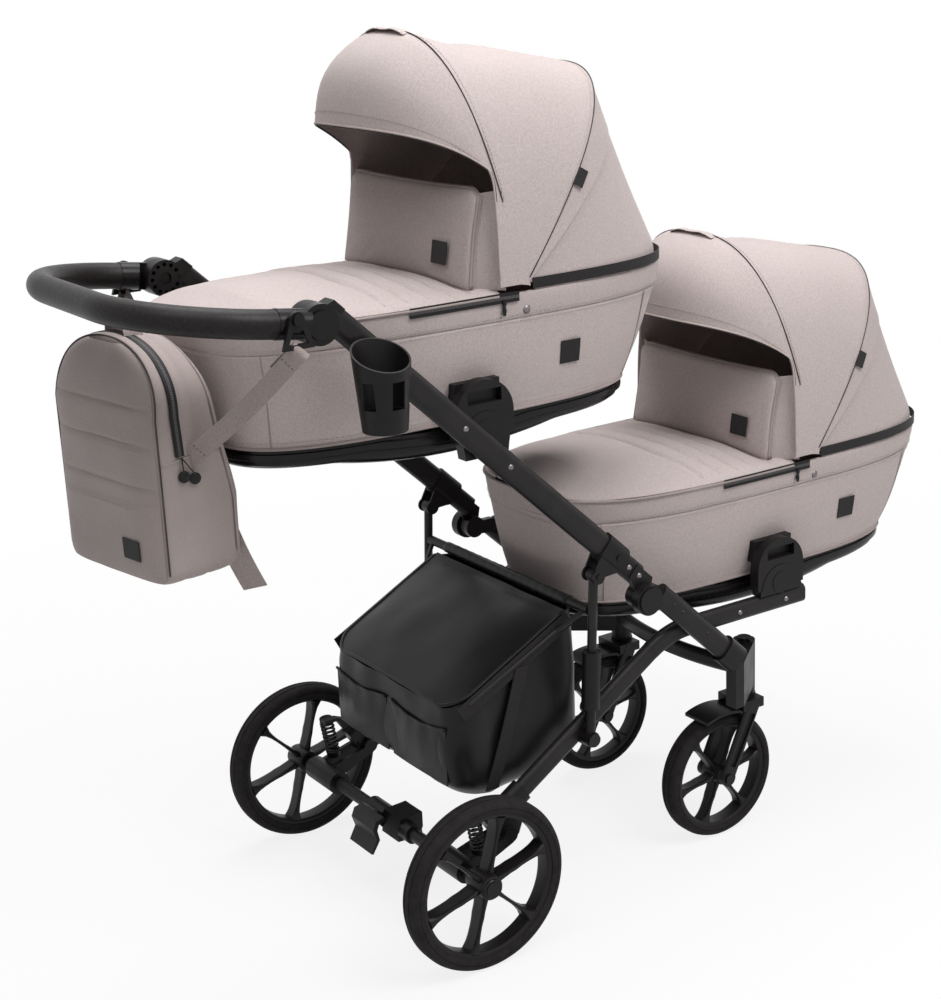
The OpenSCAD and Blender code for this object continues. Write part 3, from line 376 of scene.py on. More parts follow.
# Grip: leatherette with a pebbled grain and a low sheen.
LEATHER = Finish("black_grip_leatherette", Grain.LEATHER, "#221D1D", "#131010", 0.4, 2.0, 0.22)
# Tubes: matt charcoal powder coat.
PAINT = Finish("charcoal_powder_coat", Grain.COAT, "#252223", "#1C1A1B", 0.38, 0.7, 0.03)
# Fittings: stippled black nylon plastic, and a smoother one for what hands touch.
PLASTIC = Finish("stippled_black_plastic", Grain.MOULDED, "#1A1718", "#121011", 0.42, 0.5, 0.04)
SATIN = Finish("satin_black_plastic", Grain.MOULDED, "#181516", "#100E0F", 0.26, 0.6, 0.02)
# Tyres: foam rubber, greyer and duller than the rims.
RUBBER = Finish("grey_foam_rubber", Grain.RUBBER, "#2D2A2B", "#201E1F", 0.76, 1.6, 0.15)
# Rivets and snaps: dark plated steel; the springs are blacker.
STEEL = Finish("dark_plated_steel", Grain.METAL, "#8C8788", "#6B6667", 0.36, 0.6, 0.02)
SPRING = Finish("black_spring_steel", Grain.METAL, "#3A3738", "#262425", 0.4, 0.6, 0.02)


def object_of(name: str, shell: bmesh.types.BMesh) -> bpy.types.Object:
    """Writes an edited mesh into a new object, and frees it.

    Args:
        name: the object's name.
        shell: the mesh.

    Returns:
        The new object.
    """
    mesh = bpy.data.meshes.new(name)
    shell.to_mesh(mesh)
    shell.free()
    made = bpy.data.objects.new(name, mesh)
    bpy.context.collection.objects.link(made)
    return made


def twin_of(obj: bpy.types.Object, name: str) -> bpy.types.Object:
    """Copies a piece with its own mesh.

    Args:
        obj: the piece.
        name: the copy's name.

    Returns:
        The copy.
    """
    made = obj.copy()
    made.data = obj.data.copy()
    made.name = name
    bpy.context.collection.objects.link(made)
    return made


def sheet_of(name: str, rows: Sequence[Sequence[Vector]], wrap: bool = False, caps: bool = False,
             centre: Vector | None = None, parts: Callable[[int], int] | None = None,
             spread: Sequence[float] | None = None) -> bpy.types.Object:
    """Makes a mesh from rows of points, with a UV map in metres.

    Args:
        name: the object's name.
        rows: rows of points, all of one length.
        wrap: whether each row closes on itself.
        caps: whether the first and the last row are filled.
        centre: a point that the faces look away from; without it the mesh is closed and sorts itself out.
        parts: gives a face's material index from its row.
        spread: the U of each column in metres; without it U is measured along the row.

    Returns:
        The new object.
    """
    count = len(rows[0])
    shell = bmesh.new()
    spots = [[shell.verts.new(p) for p in row] for row in rows]
    uv = shell.loops.layers.uv.new("UVMap")
    middle = count // 2
    lengths = [0.0]
    for a, b in zip(rows, rows[1:]):
        lengths.append(lengths[-1] + (b[middle] - a[middle]).length)
    widths = []
    for row in rows:
        run = [0.0]
        for k in range(count):
            run.append(run[-1] + (row[(k + 1) % count] - row[k]).length)
        widths.append(run)
    for r in range(len(rows) - 1):
        for k in range(count if wrap else count - 1):
            nxt = (k + 1) % count
            face = shell.faces.new((spots[r][k], spots[r][nxt], spots[r + 1][nxt], spots[r + 1][k]))
            face.material_index = parts(r) if parts else 0
            for loop, (i, j) in zip(face.loops, ((r, k), (r, k + 1), (r + 1, k + 1), (r + 1, k))):
                loop[uv].uv = (spread[j] if spread else widths[i][j], lengths[i])
    if caps:
        for row, part in ((spots[0], 0), (spots[-1], len(rows) - 2)):
            face = shell.faces.new(row)
            face.material_index = parts(part) if parts else 0
    if centre is None:
        bmesh.ops.recalc_face_normals(shell, faces=shell.faces)
    else:
        shell.normal_update()
        lean = sum((f.calc_center_median() - centre).dot(f.normal) * f.calc_area() for f in shell.faces)
        if lean < 0:
            bmesh.ops.reverse_faces(shell, faces=shell.faces)
    made = object_of(name, shell)
    for face in made.data.polygons:
        face.use_smooth = True
    return made


def tube_of(name: str, path: Sequence[Vector], radius: float, sides: int = 8,
            closed: bool = False) -> bpy.types.Object:
    """Makes a round cord along a path.

    Args:
        name: the object's name.
        path: the points that its middle follows.
        radius: its radius in metres.
        sides: how many faces go round it.
        closed: whether it runs back to its start.

    Returns:
        The new object.
    """
    count = len(path)
    rows = []
    up = Vector((0.31, 0.17, 0.93))
    for i in range(count):
        ahead = path[(i + 1) % count] if closed or i < count - 1 else path[i]
        behind = path[i - 1] if closed or i > 0 else path[i]
        run = (ahead - behind).normalized()
        side = up - run * up.dot(run)
        if side.length < 1e-4:
            side = run.orthogonal()
        up = side.normalized()
        other = run.cross(up)
        rows.append([path[i] + up * (radius * math.cos(2 * math.pi * k / sides))
                     + other * (radius * math.sin(2 * math.pi * k / sides)) for k in range(sides)])
    if closed:
        rows.append(rows[0])
    made = sheet_of(name, rows, wrap=True, caps=not closed)
    if closed:
        weld(made)
    return made


def weld(obj: bpy.types.Object) -> None:
    """Merges doubled points and points the faces outwards again.

    Args:
        obj: the piece to close.
    """
    shell = bmesh.new()
    shell.from_mesh(obj.data)
    bmesh.ops.remove_doubles(shell, verts=shell.verts, dist=1e-6)
    bmesh.ops.recalc_face_normals(shell, faces=shell.faces)
    shell.to_mesh(obj.data)
    shell.free()


def strap_of(name: str, path: Sequence[Vector], across: Sequence[Vector] | Vector, width: float,
             thick: float) -> bpy.types.Object:
    """Makes a flat strap along a path, with U across it from its middle.

    Args:
        name: the object's name.
        path: the points that its middle follows.
        across: the direction of its width, at each point or for all.
        width: its width in metres.
        thick: its thickness in metres.

    Returns:
        The new object.
    """
    ways = [across] * len(path) if isinstance(across, Vector) else across
    marks = [width * s for s in (-0.5, -0.46, -0.25, 0.0, 0.25, 0.46, 0.5)]
    rows = [[p + w.normalized() * m for m in marks] for p, w in zip(path, ways)]
    made = sheet_of(name, rows, centre=path[0] - Vector((0, 0, 10)), spread=marks)
    thicken(made, thick, 0.0)
    return made


def stitches_of(name: str, path: Sequence[Vector], lift: Sequence[Vector], length: float = 4.2,
                gap: float = 2.2, thick: float = 0.9) -> bpy.types.Object:
    """Makes a row of sewn stitches along a path.

    Args:
        name: the object's name.
        path: the seam's points.
        lift: the direction away from the cloth at each of them.
        length: a stitch's length in millimetres.
        gap: the space between two stitches in millimetres.
        thick: the thread's thickness in millimetres.

    Returns:
        The new object.
    """
    total = sum((b - a).length for a, b in zip(path, path[1:]))
    count = max(2, int(total * 1000 / (length + gap)))
    spots = even(path, count * 2)
    shell = bmesh.new()
    for i in range(0, len(spots) - 1, 2):
        run = (spots[i + 1] - spots[i]).normalized()
        nearest = lift[min(len(lift) - 1, round(i / (len(spots) - 1) * (len(lift) - 1)))]
        up = (nearest - run * nearest.dot(run)).normalized()
        side = run.cross(up) * (thick / 2000)
        top = up * (thick / 1000)
        middle = (spots[i] + spots[i + 1]) / 2
        half = run * (length / 2000)
        ends = [middle - half * 1.05, middle - half * 0.7, middle + half * 0.7, middle + half * 1.05]
        high = [-0.2, 0.55, 0.55, -0.2]
        rings = [[shell.verts.new(e + side * s + top * (h - d))
                  for s, d in ((-1, 0.55), (-0.6, 0), (0.6, 0), (1, 0.55))] for e, h in zip(ends, high)]
        for a, b in zip(rings, rings[1:]):
            for k in range(4):
                shell.faces.new((a[k], a[(k + 1) % 4], b[(k + 1) % 4], b[k]))
        shell.faces.new(rings[0])
        shell.faces.new(rings[-1])
    bmesh.ops.recalc_face_normals(shell, faces=shell.faces)
    return object_of(name, shell)


def pick(obj: bpy.types.Object) -> None:
    """Makes one object the only selected and active one."""
    bpy.ops.object.select_all(action="DESELECT")
    obj.select_set(True)
    bpy.context.view_layer.objects.active = obj


def finish_with(obj: bpy.types.Object, kind: str, **settings: object) -> None:
    """Adds a modifier with its settings and applies it.

    Args:
        obj: the piece.
        kind: the modifier's type.
        settings: its properties.
    """
    pick(obj)
    change = obj.modifiers.new(kind.lower(), kind)
    for key, value in settings.items():
        setattr(change, key, value)
    bpy.ops.object.modifier_apply(modifier=change.name)


def thicken(obj: bpy.types.Object, thick: float, offset: float = -1.0, inside: int = 0) -> None:
    """Gives a sheet its thickness.

    Args:
        obj: the sheet.
        thick: its thickness in metres.
        offset: -1 puts it inwards and 0 half to each side.
        inside: how many material slots further the inner face's material is.
    """
    finish_with(obj, "SOLIDIFY", thickness=thick, offset=offset, material_offset=inside,
                use_even_offset=False)
    shade(obj, 50)


def shade(obj: bpy.types.Object, degrees: float) -> None:
    """Smooths the shading of edges flatter than an angle."""
    pick(obj)
    bpy.ops.object.shade_smooth_by_angle(angle=math.radians(degrees))


def crease(obj: bpy.types.Object, depth: float, size: float, seed: float) -> None:
    """Moves a cloth's points along their normals in soft folds.

    Args:
        obj: the cloth.
        depth: how far, in metres.
        size: the folds' size in metres.
        seed: picks other folds.
    """
    shift = Vector((seed, seed * 0.7, seed * 1.3))
    moves = [v.normal * (depth * noise.noise(v.co / size + shift)) for v in obj.data.vertices]
    for v, move in zip(obj.data.vertices, moves):
        v.co += move


def join(name: str, objs: Sequence[bpy.types.Object]) -> bpy.types.Object:
    """Joins objects into one and names it.

    Args:
        name: the new name.
        objs: the objects, of which the first one takes in the others.

    Returns:
        The joined object.
    """
    pick(objs[0])
    for obj in objs:
        obj.select_set(True)
    bpy.ops.object.join()
    made = bpy.context.view_layer.objects.active
    made.name = name
    made.data.name = name
    return made


def turned(name: str, profile: Sequence[tuple[float, float]], spot: Spot, steps: int = 64,
           ring: bool = True) -> bpy.types.Object:
    """Turns a piece as on a lathe: a circle extruded and scaled along its axis.

    Args:
        name: the object's name.
        profile: radius and place along the axis, in millimetres.
        spot: where its middle stands.
        steps: how many faces go round it.
        ring: whether the profile closes on itself; a solid piece has its ends filled.

    Returns:
        The new object.
    """
    bpy.ops.object.select_all(action="DESELECT")
    bpy.ops.mesh.primitive_circle_add(vertices=steps, radius=profile[0][0] / 1000,
                                      fill_type="NOTHING" if ring else "NGON", rotation=(math.pi / 2, 0, 0))
    made = bpy.context.object
    made.name = name
    bpy.ops.object.transform_apply(location=True, rotation=True, scale=True)
    bpy.ops.object.mode_set(mode="EDIT")
    bpy.ops.mesh.select_all(action="SELECT")
    bpy.ops.transform.translate(value=(0, profile[0][1] / 1000, 0))
    for (ra, ya), (rb, yb) in zip(profile, profile[1:]):
        bpy.ops.mesh.extrude_region_move(TRANSFORM_OT_translate={"value": (0, (yb - ya) / 1000, 0)})
        bpy.ops.transform.resize(value=(rb / ra, 1, rb / ra), center_override=(0, yb / 1000, 0))
    if ring:
        bpy.ops.mesh.select_all(action="DESELECT")
        bpy.ops.mesh.select_non_manifold()
        bpy.ops.mesh.bridge_edge_loops()
    bpy.ops.mesh.select_all(action="SELECT")
    bpy.ops.mesh.normals_make_consistent(inside=False)
    bpy.ops.object.mode_set(mode="OBJECT")
    made.data.transform(Matrix.Translation(here(*spot)))
    shade(made, 32)
    return made


def flipped(obj: bpy.types.Object, name: str) -> bpy.types.Object:
    """Copies a piece to the other side of the pram with its own mesh.

    Args:
        obj: the near piece.
        name: the copy's name.

    Returns:
        The far piece.
    """
    made = twin_of(obj, name)
    middle = Matrix.Translation((0, AXLE.y, 0))
    made.data.transform(middle @ Matrix.Scale(-1, 4, SIDEWAYS) @ middle.inverted())
    made.data.flip_normals()
    return made


def puff(obj: bpy.types.Object, voxel: float, cap: float, held: Callable[[Vector], bool]) -> None:
    """Swells a closed pad as cloth under pressure.

    Args:
        obj: the pad, a little smaller than it ends up.
        voxel: the size of the remeshed faces in metres.
        cap: how far a point may move in metres.
        held: says which points the seams hold.
    """
    finish_with(obj, "REMESH", mode="VOXEL", voxel_size=voxel)
    seam = obj.vertex_groups.new(name="seam")
    seam.add([v.index for v in obj.data.vertices if held(v.co)], 1.0, "REPLACE")
    cloth = obj.modifiers.new("cloth", "CLOTH")
    cloth.settings.use_pressure = True
    cloth.settings.uniform_pressure_force = 4
    cloth.settings.vertex_group_mass = "seam"
    cloth.settings.effector_weights.gravity = 0
    cloth.point_cache.frame_start = 1
    cloth.point_cache.frame_end = 20
    scene = bpy.context.scene
    for step in range(1, 21):
        scene.frame_set(step)
    shaped = obj.evaluated_get(bpy.context.evaluated_depsgraph_get())
    ends = [v.co.copy() for v in shaped.data.vertices]
    obj.modifiers.remove(cloth)
    scene.frame_set(1)
    for v, end in zip(obj.data.vertices, ends):
        move = end - v.co
        if move.length > cap:
            move *= cap / move.length
        v.co += move
    obj.vertex_groups.clear()
    finish_with(obj, "SUBSURF", levels=1, render_levels=1)
    shade(obj, 80)


@dataclass
class Piece:
    """A finished piece with what it rides on and stands for.

    Args:
        obj: its object.
        body: the CAD body that it moves with.
        slot: the record's material slot; not used.
        finishes: its materials in slot order.
        nodes: the CAD nodes that it stands for.
        cut: a sheet's width, length and area before it was hung; not used.
        held: how a sheet is held; not used.
        rests: what a sheet lies on; not used.
        fill: how full a padded piece is; not used.
        bends: the second body of a cloth across a joint, and where the bend starts and ends; a piece that
            has it keeps its place and is not attached to a body.
    """

    obj: bpy.types.Object
    body: str
    slot: str
    finishes: tuple[Finish, ...]
    nodes: tuple[str, ...] = ()
    cut: tuple[float, float, float] | None = None
    held: str = "stretched"
    rests: tuple[str, ...] = ()
    fill: float | None = None
    bends: tuple[str, Vector, Vector] | None = None

    def settle(self) -> None:
        self.obj.data.materials.clear()
        for finish in self.finishes:
            self.obj.data.materials.append(finish.material())
        if self.bends:
            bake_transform(self.obj)
        else:
            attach(self.obj, self.body)
        if self.nodes:
            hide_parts(*self.nodes)
        LOG.info("%s rides on %s", self.obj.name, self.body)

    def copied(self, old: str, new: str, shift: Vector) -> "Piece":
        """Copies the piece with its own mesh for another place.

        Args:
            old: the part of its names to change.
            new: what it becomes.
            shift: how far the copy stands from it.

        Returns:
            The copy, not yet settled.
        """
        twin = twin_of(self.obj, self.obj.name.replace(old, new))
        twin.data.transform(Matrix.Translation(shift))
        bends = None
        if self.bends:
            body, start, end = self.bends
            bends = (body.replace(old, new), start + shift, end + shift)
        return Piece(twin, self.body.replace(old, new), self.slot, self.finishes,
                     tuple(n.replace(old, new) for n in self.nodes), self.cut, self.held,
                     tuple(n.replace(old, new) for n in self.rests), self.fill, bends)


def cut_of(rows: Sequence[Sequence[Vector]]) -> tuple[float, float, float]:
    """Measures the flat cut of a sheet from its rows.

    Args:
        rows: the sheet's rows of points.

    Returns:
        Width, length and area in metres and square metres.
    """
    wide = max(sum((b - a).length for a, b in zip(row, row[1:])) for row in rows)
    columns = list(zip(*rows))
    tall = max(sum((b - a).length for a, b in zip(col, col[1:])) for col in columns)
    area = 0.0
    for above, below in zip(rows, rows[1:]):
        for k in range(len(above) - 1):
            area += (above[k + 1] - above[k]).cross(below[k] - above[k]).length / 2
            area += (above[k + 1] - below[k + 1]).cross(below[k] - below[k + 1]).length / 2
    return (wide, tall, area)


@dataclass
class Hood:
    """A hood in two shells: bows that all turn on one axis, and the cloth between them."""

    pivot_x: float = 167
    pivot_z: float = 1030
    radius: float = 381
    front_lean: float = -12.4
    seam_lean: float = 36
    edge_lean: float = 47
    front_w: float = 211.5
    back_w: float = 206
    rim: float = 1025
    edge_x: float = 132
    seam_drop: float = 3
    rear_drop: float = 36
    brim_from: float = 21.5
    brim_reach: float = 86
    brim_swell: float = 22
    brim_drop: float = 132
    skirt: float = 9
    thick: float = 2.4
    columns: int = 76

    def chord(self, a: tuple[float, float], b: tuple[float, float], lean: float) -> float:
        """Measures from the axis to the straight line between two bow tops.

        Args:
            a: the first top, as x and z from the axis.
            b: the second top.
            lean: the direction to measure in, in degrees back from upright.

        Returns:
            The distance.
        """
        turn = math.radians(lean)
        way = (math.sin(turn), math.cos(turn))
        run = (b[0] - a[0], b[1] - a[1])
        return (a[0] * run[1] - a[1] * run[0]) / (way[0] * run[1] - way[1] * run[0])

    def reach(self, lean: float) -> float:
        """Gives the cloth's height above the axis at a lean.

        Args:
            lean: degrees back from upright.

        Returns:
            The height in millimetres.
        """
        turn = [math.radians(a) for a in (self.front_lean, self.seam_lean)]
        front = (self.radius * math.sin(turn[0]), self.radius * math.cos(turn[0]))
        high = self.radius - self.seam_drop
        seam = (high * math.sin(turn[1]), high * math.cos(turn[1]))
        if lean < self.seam_lean:
            dip = math.sin(math.pi * clamp((lean - self.front_lean) / 22)) * 6
            return self.chord(front, seam, lean) - dip
        share = (lean - self.seam_lean) / (90 - self.seam_lean)
        return self.chord(seam, (self.radius - self.rear_drop, 0), lean) - 5 * math.sin(math.pi * share)

    def bow(self, width: float, high: float, lean: float, angle: float) -> Spot:
        """Gives a point of a bow.

        Args:
            width: the bow's half width.
            high: its height above the axis.
            lean: how far it leans back in degrees.
            angle: from 0 at the near pivot to 180 at the far one.

        Returns:
            The point in millimetres.
        """
        power = 2 / (2.7 + 0.6 * clamp((lean - self.seam_lean) / (90 - self.seam_lean)))
        lift = max(high * math.sin(math.radians(angle)) ** power, 5)
        turn = math.radians(lean)
        return (self.pivot_x + lift * math.sin(turn), -width * spow(math.cos(math.radians(angle)), power),
                self.pivot_z + lift * math.cos(turn))

    def angles(self) -> list[float]:
        """Spaces the columns from pivot to pivot."""
        return spaced(self.columns, 0.8, 179.2)

    def visor(self, share: float, angle: float) -> Vector:
        """Gives a point of the visor, from the front bow at 0 to its brim at 1.

        Args:
            share: from 0 at the bow to 1 at the brim.
            angle: from 0 at the near pivot to 180 at the far one.

        Returns:
            The point in the row's frame.
        """
        x, y, z = self.bow(self.front_w, self.reach(self.front_lean), self.front_lean, angle)
        start = self.brim_from
        out = math.sin(math.radians(1.314 * (angle - start))) if start < angle < 180 - start else 0.0
        x -= max(0.0, x - self.edge_x) * share
        x += -self.brim_reach * out * share - self.brim_swell * out * math.sin(math.pi * share) - 6 * share
        z += -self.brim_drop * out * share * (0.5 + 0.5 * share)
        return here(x, y, z)

    def front_rows(self) -> list[list[Vector]]:
        """Lays out the folding shell from the brim to its rear edge.

        Returns:
            Its rows of points from pivot to pivot.
        """
        rows = [[self.visor(1 - i / 10, a) for a in self.angles()] for i in range(10)]
        leans = spaced(17, self.front_lean, self.seam_lean)
        leans += [self.seam_lean + 1.4, self.seam_lean + 4, self.edge_lean - 3, self.edge_lean]
        for lean in leans:
            rows.append([here(*self.bow(self.front_w, self.reach(lean), lean, a)) for a in self.angles()])
        drop = UPWARDS * (self.skirt / 1000)
        return [[row[0] - drop] + row + [row[-1] - drop] for row in rows]

    def back_rows(self) -> list[list[Vector]]:
        """Lays out the fixed shell from under the folding one down to the cot's rim.

        Returns:
            Its rows of points from side to side.
        """
        top = self.reach(self.edge_lean) - 4.5
        rows = []
        for lean in spaced(19, self.edge_lean - 4, 90):
            high = min(self.reach(lean), top)
            rows.append([here(*self.bow(self.back_w, high, lean, a)) for a in self.angles()])
        base = [p.copy() for p in rows[-1]]
        for p in base:
            p.z = (self.rim + 0.2) / 1000
        rows.append(base)
        return rows

    def seam(self, lean: float, low: float, high: float, out: float) -> list[Vector]:
        """Follows a bow a little outside its cloth.

        Args:
            lean: the bow's lean.
            low: the first angle.
            high: the last angle.
            out: how far outside, in millimetres.

        Returns:
            The path.
        """
        path = []
        for angle in spaced(90, low, high):
            path.append(here(*self.bow(self.front_w + out, self.reach(lean) + out, lean, angle)))
        return path

    def middle(self) -> Vector:
        """Gives a point inside the hood that its cloth looks away from."""
        return here(self.pivot_x + 60, 0, self.pivot_z + 60)

    def build(self) -> list[Piece]:
        """Builds both shells with their piping, hem, vent fold, base band and stitches.

        Returns:
            The pieces of the rear cot's hood.
        """
        rows = self.front_rows()
        front = sheet_of("rear_hood_canopy", rows, centre=self.middle())
        crease(front, 0.0012, 0.07, 3.1)
        thicken(front, self.thick / 1000, -1, 1)
        pieces = [Piece(front, "rear_hood", "greige_cloth", (GREIGE, LINING), ("rear_hood_front",),
                        cut_of(rows))]
        rows = self.back_rows()
        back = sheet_of("rear_hood_panel", rows, centre=self.middle())
        thicken(back, self.thick / 1000, -1, 1)
        pieces.append(Piece(back, "rear_cot", "greige_cloth", (GREIGE, LINING), ("rear_hood_back",),
                            cut_of(rows)))
        cords = [tube_of("bow_cord", self.seam(self.front_lean, 14, 84, 0.5), 0.001),
                 tube_of("bow_cord", self.seam(self.front_lean, 96, 166, 0.5), 0.001),
                 tube_of("seam_cord", self.seam(self.seam_lean, 1, 179, 0.5), 0.001)]
        pieces.append(Piece(join("rear_hood_piping", cords), "rear_hood", "black_cloth", (PIPING,)))
        brim = [self.visor(1, angle) for angle in spaced(160, 1, 179)]
        pieces.append(Piece(tube_of("rear_visor_hem", brim, 0.0015), "rear_hood", "greige_cloth", (HEM,)))
        under = [p + Vector((0.0016, 0, -0.0022)) for p in brim[12:-12]]
        binding = tube_of("rear_visor_binding", under, 0.0014)
        pieces.append(Piece(binding, "rear_hood", "black_cloth", (PIPING,)))
        inner = [self.visor(0.9, angle) for angle in spaced(100, 26, 154)]
        sewn = [stitches_of("hem_stitches", [p + (p - self.middle()).normalized() * 0.0004 for p in inner],
                            [p - self.middle() for p in inner])]
        for lean, low in ((self.front_lean + 1.6, 15), (self.seam_lean - 1.2, 9), (self.seam_lean + 1.2, 9)):
            path = self.seam(lean, low, 180 - low, 0.3)
            sewn.append(stitches_of("bow_stitches", path, [p - self.middle() for p in path]))
        pieces.append(Piece(join("rear_hood_stitches", sewn), "rear_hood", "greige_cloth", (THREAD,)))
        pieces.append(self.vent())
        pieces.append(self.base_band())
        tag = [here(*self.bow(self.front_w + 1.5, self.reach(self.seam_lean) + 1.5, self.seam_lean + d, 23))
               for d in (-0.4, 1.4, 3.2, 5.0)]
        across = here(*self.bow(self.front_w, self.reach(self.seam_lean), self.seam_lean, 26)) - tag[0]
        pieces.append(Piece(strap_of("rear_hood_tag", tag, across, 0.03, 0.0012), "rear_hood",
                            "black_cloth", (BLACK_TAPE,)))
        return pieces

    def vent(self) -> Piece:
        """Builds the small pleated fold over the top of the front bow.

        Returns:
            The fold as a gathered sheet.
        """
        rows = []
        for share in spaced(9):
            lean = self.front_lean - 1.6 + 9 * share
            row = []
            for k in range(17):
                angle = blend(80.5, 99.5, k / 16)
                swell = math.sin(math.pi * k / 16) ** 0.8 * (1 - 0.45 * math.exp(-((k - 8) / 1.6) ** 2))
                out = 0.5 + swell * (6.5 * (1 - share) ** 1.6 + 0.8 * math.sin(share * 9))
                high = self.reach(max(lean, self.front_lean)) + out
                row.append(here(*self.bow(self.front_w, high, lean, angle)))
            rows.append(row)
        fold = sheet_of("rear_vent_fold", rows, centre=self.middle())
        thicken(fold, 0.002, -1, 1)
        finish_with(fold, "SUBSURF", levels=1, render_levels=1)
        return Piece(fold, "rear_hood", "greige_cloth", (GREIGE, LINING), (), cut_of(rows), "gathered")

    def base_band(self) -> Piece:
        """Builds the black band sewn round the hood's base.

        Returns:
            The band on the cot's rim.
        """
        path = []
        for angle in spaced(400, 0.5, 179.5):
            x, y, _ = self.bow(self.back_w + 0.9, self.reach(90) + 0.9, 90, angle)
            path.append(here(x, y, self.rim + 9.5))
        band = strap_of("rear_hood_base_band", even(path, 150), UPWARDS, 0.016, 0.0012)
        return Piece(band, "rear_cot", "black_cloth", (BLACK_TAPE,))


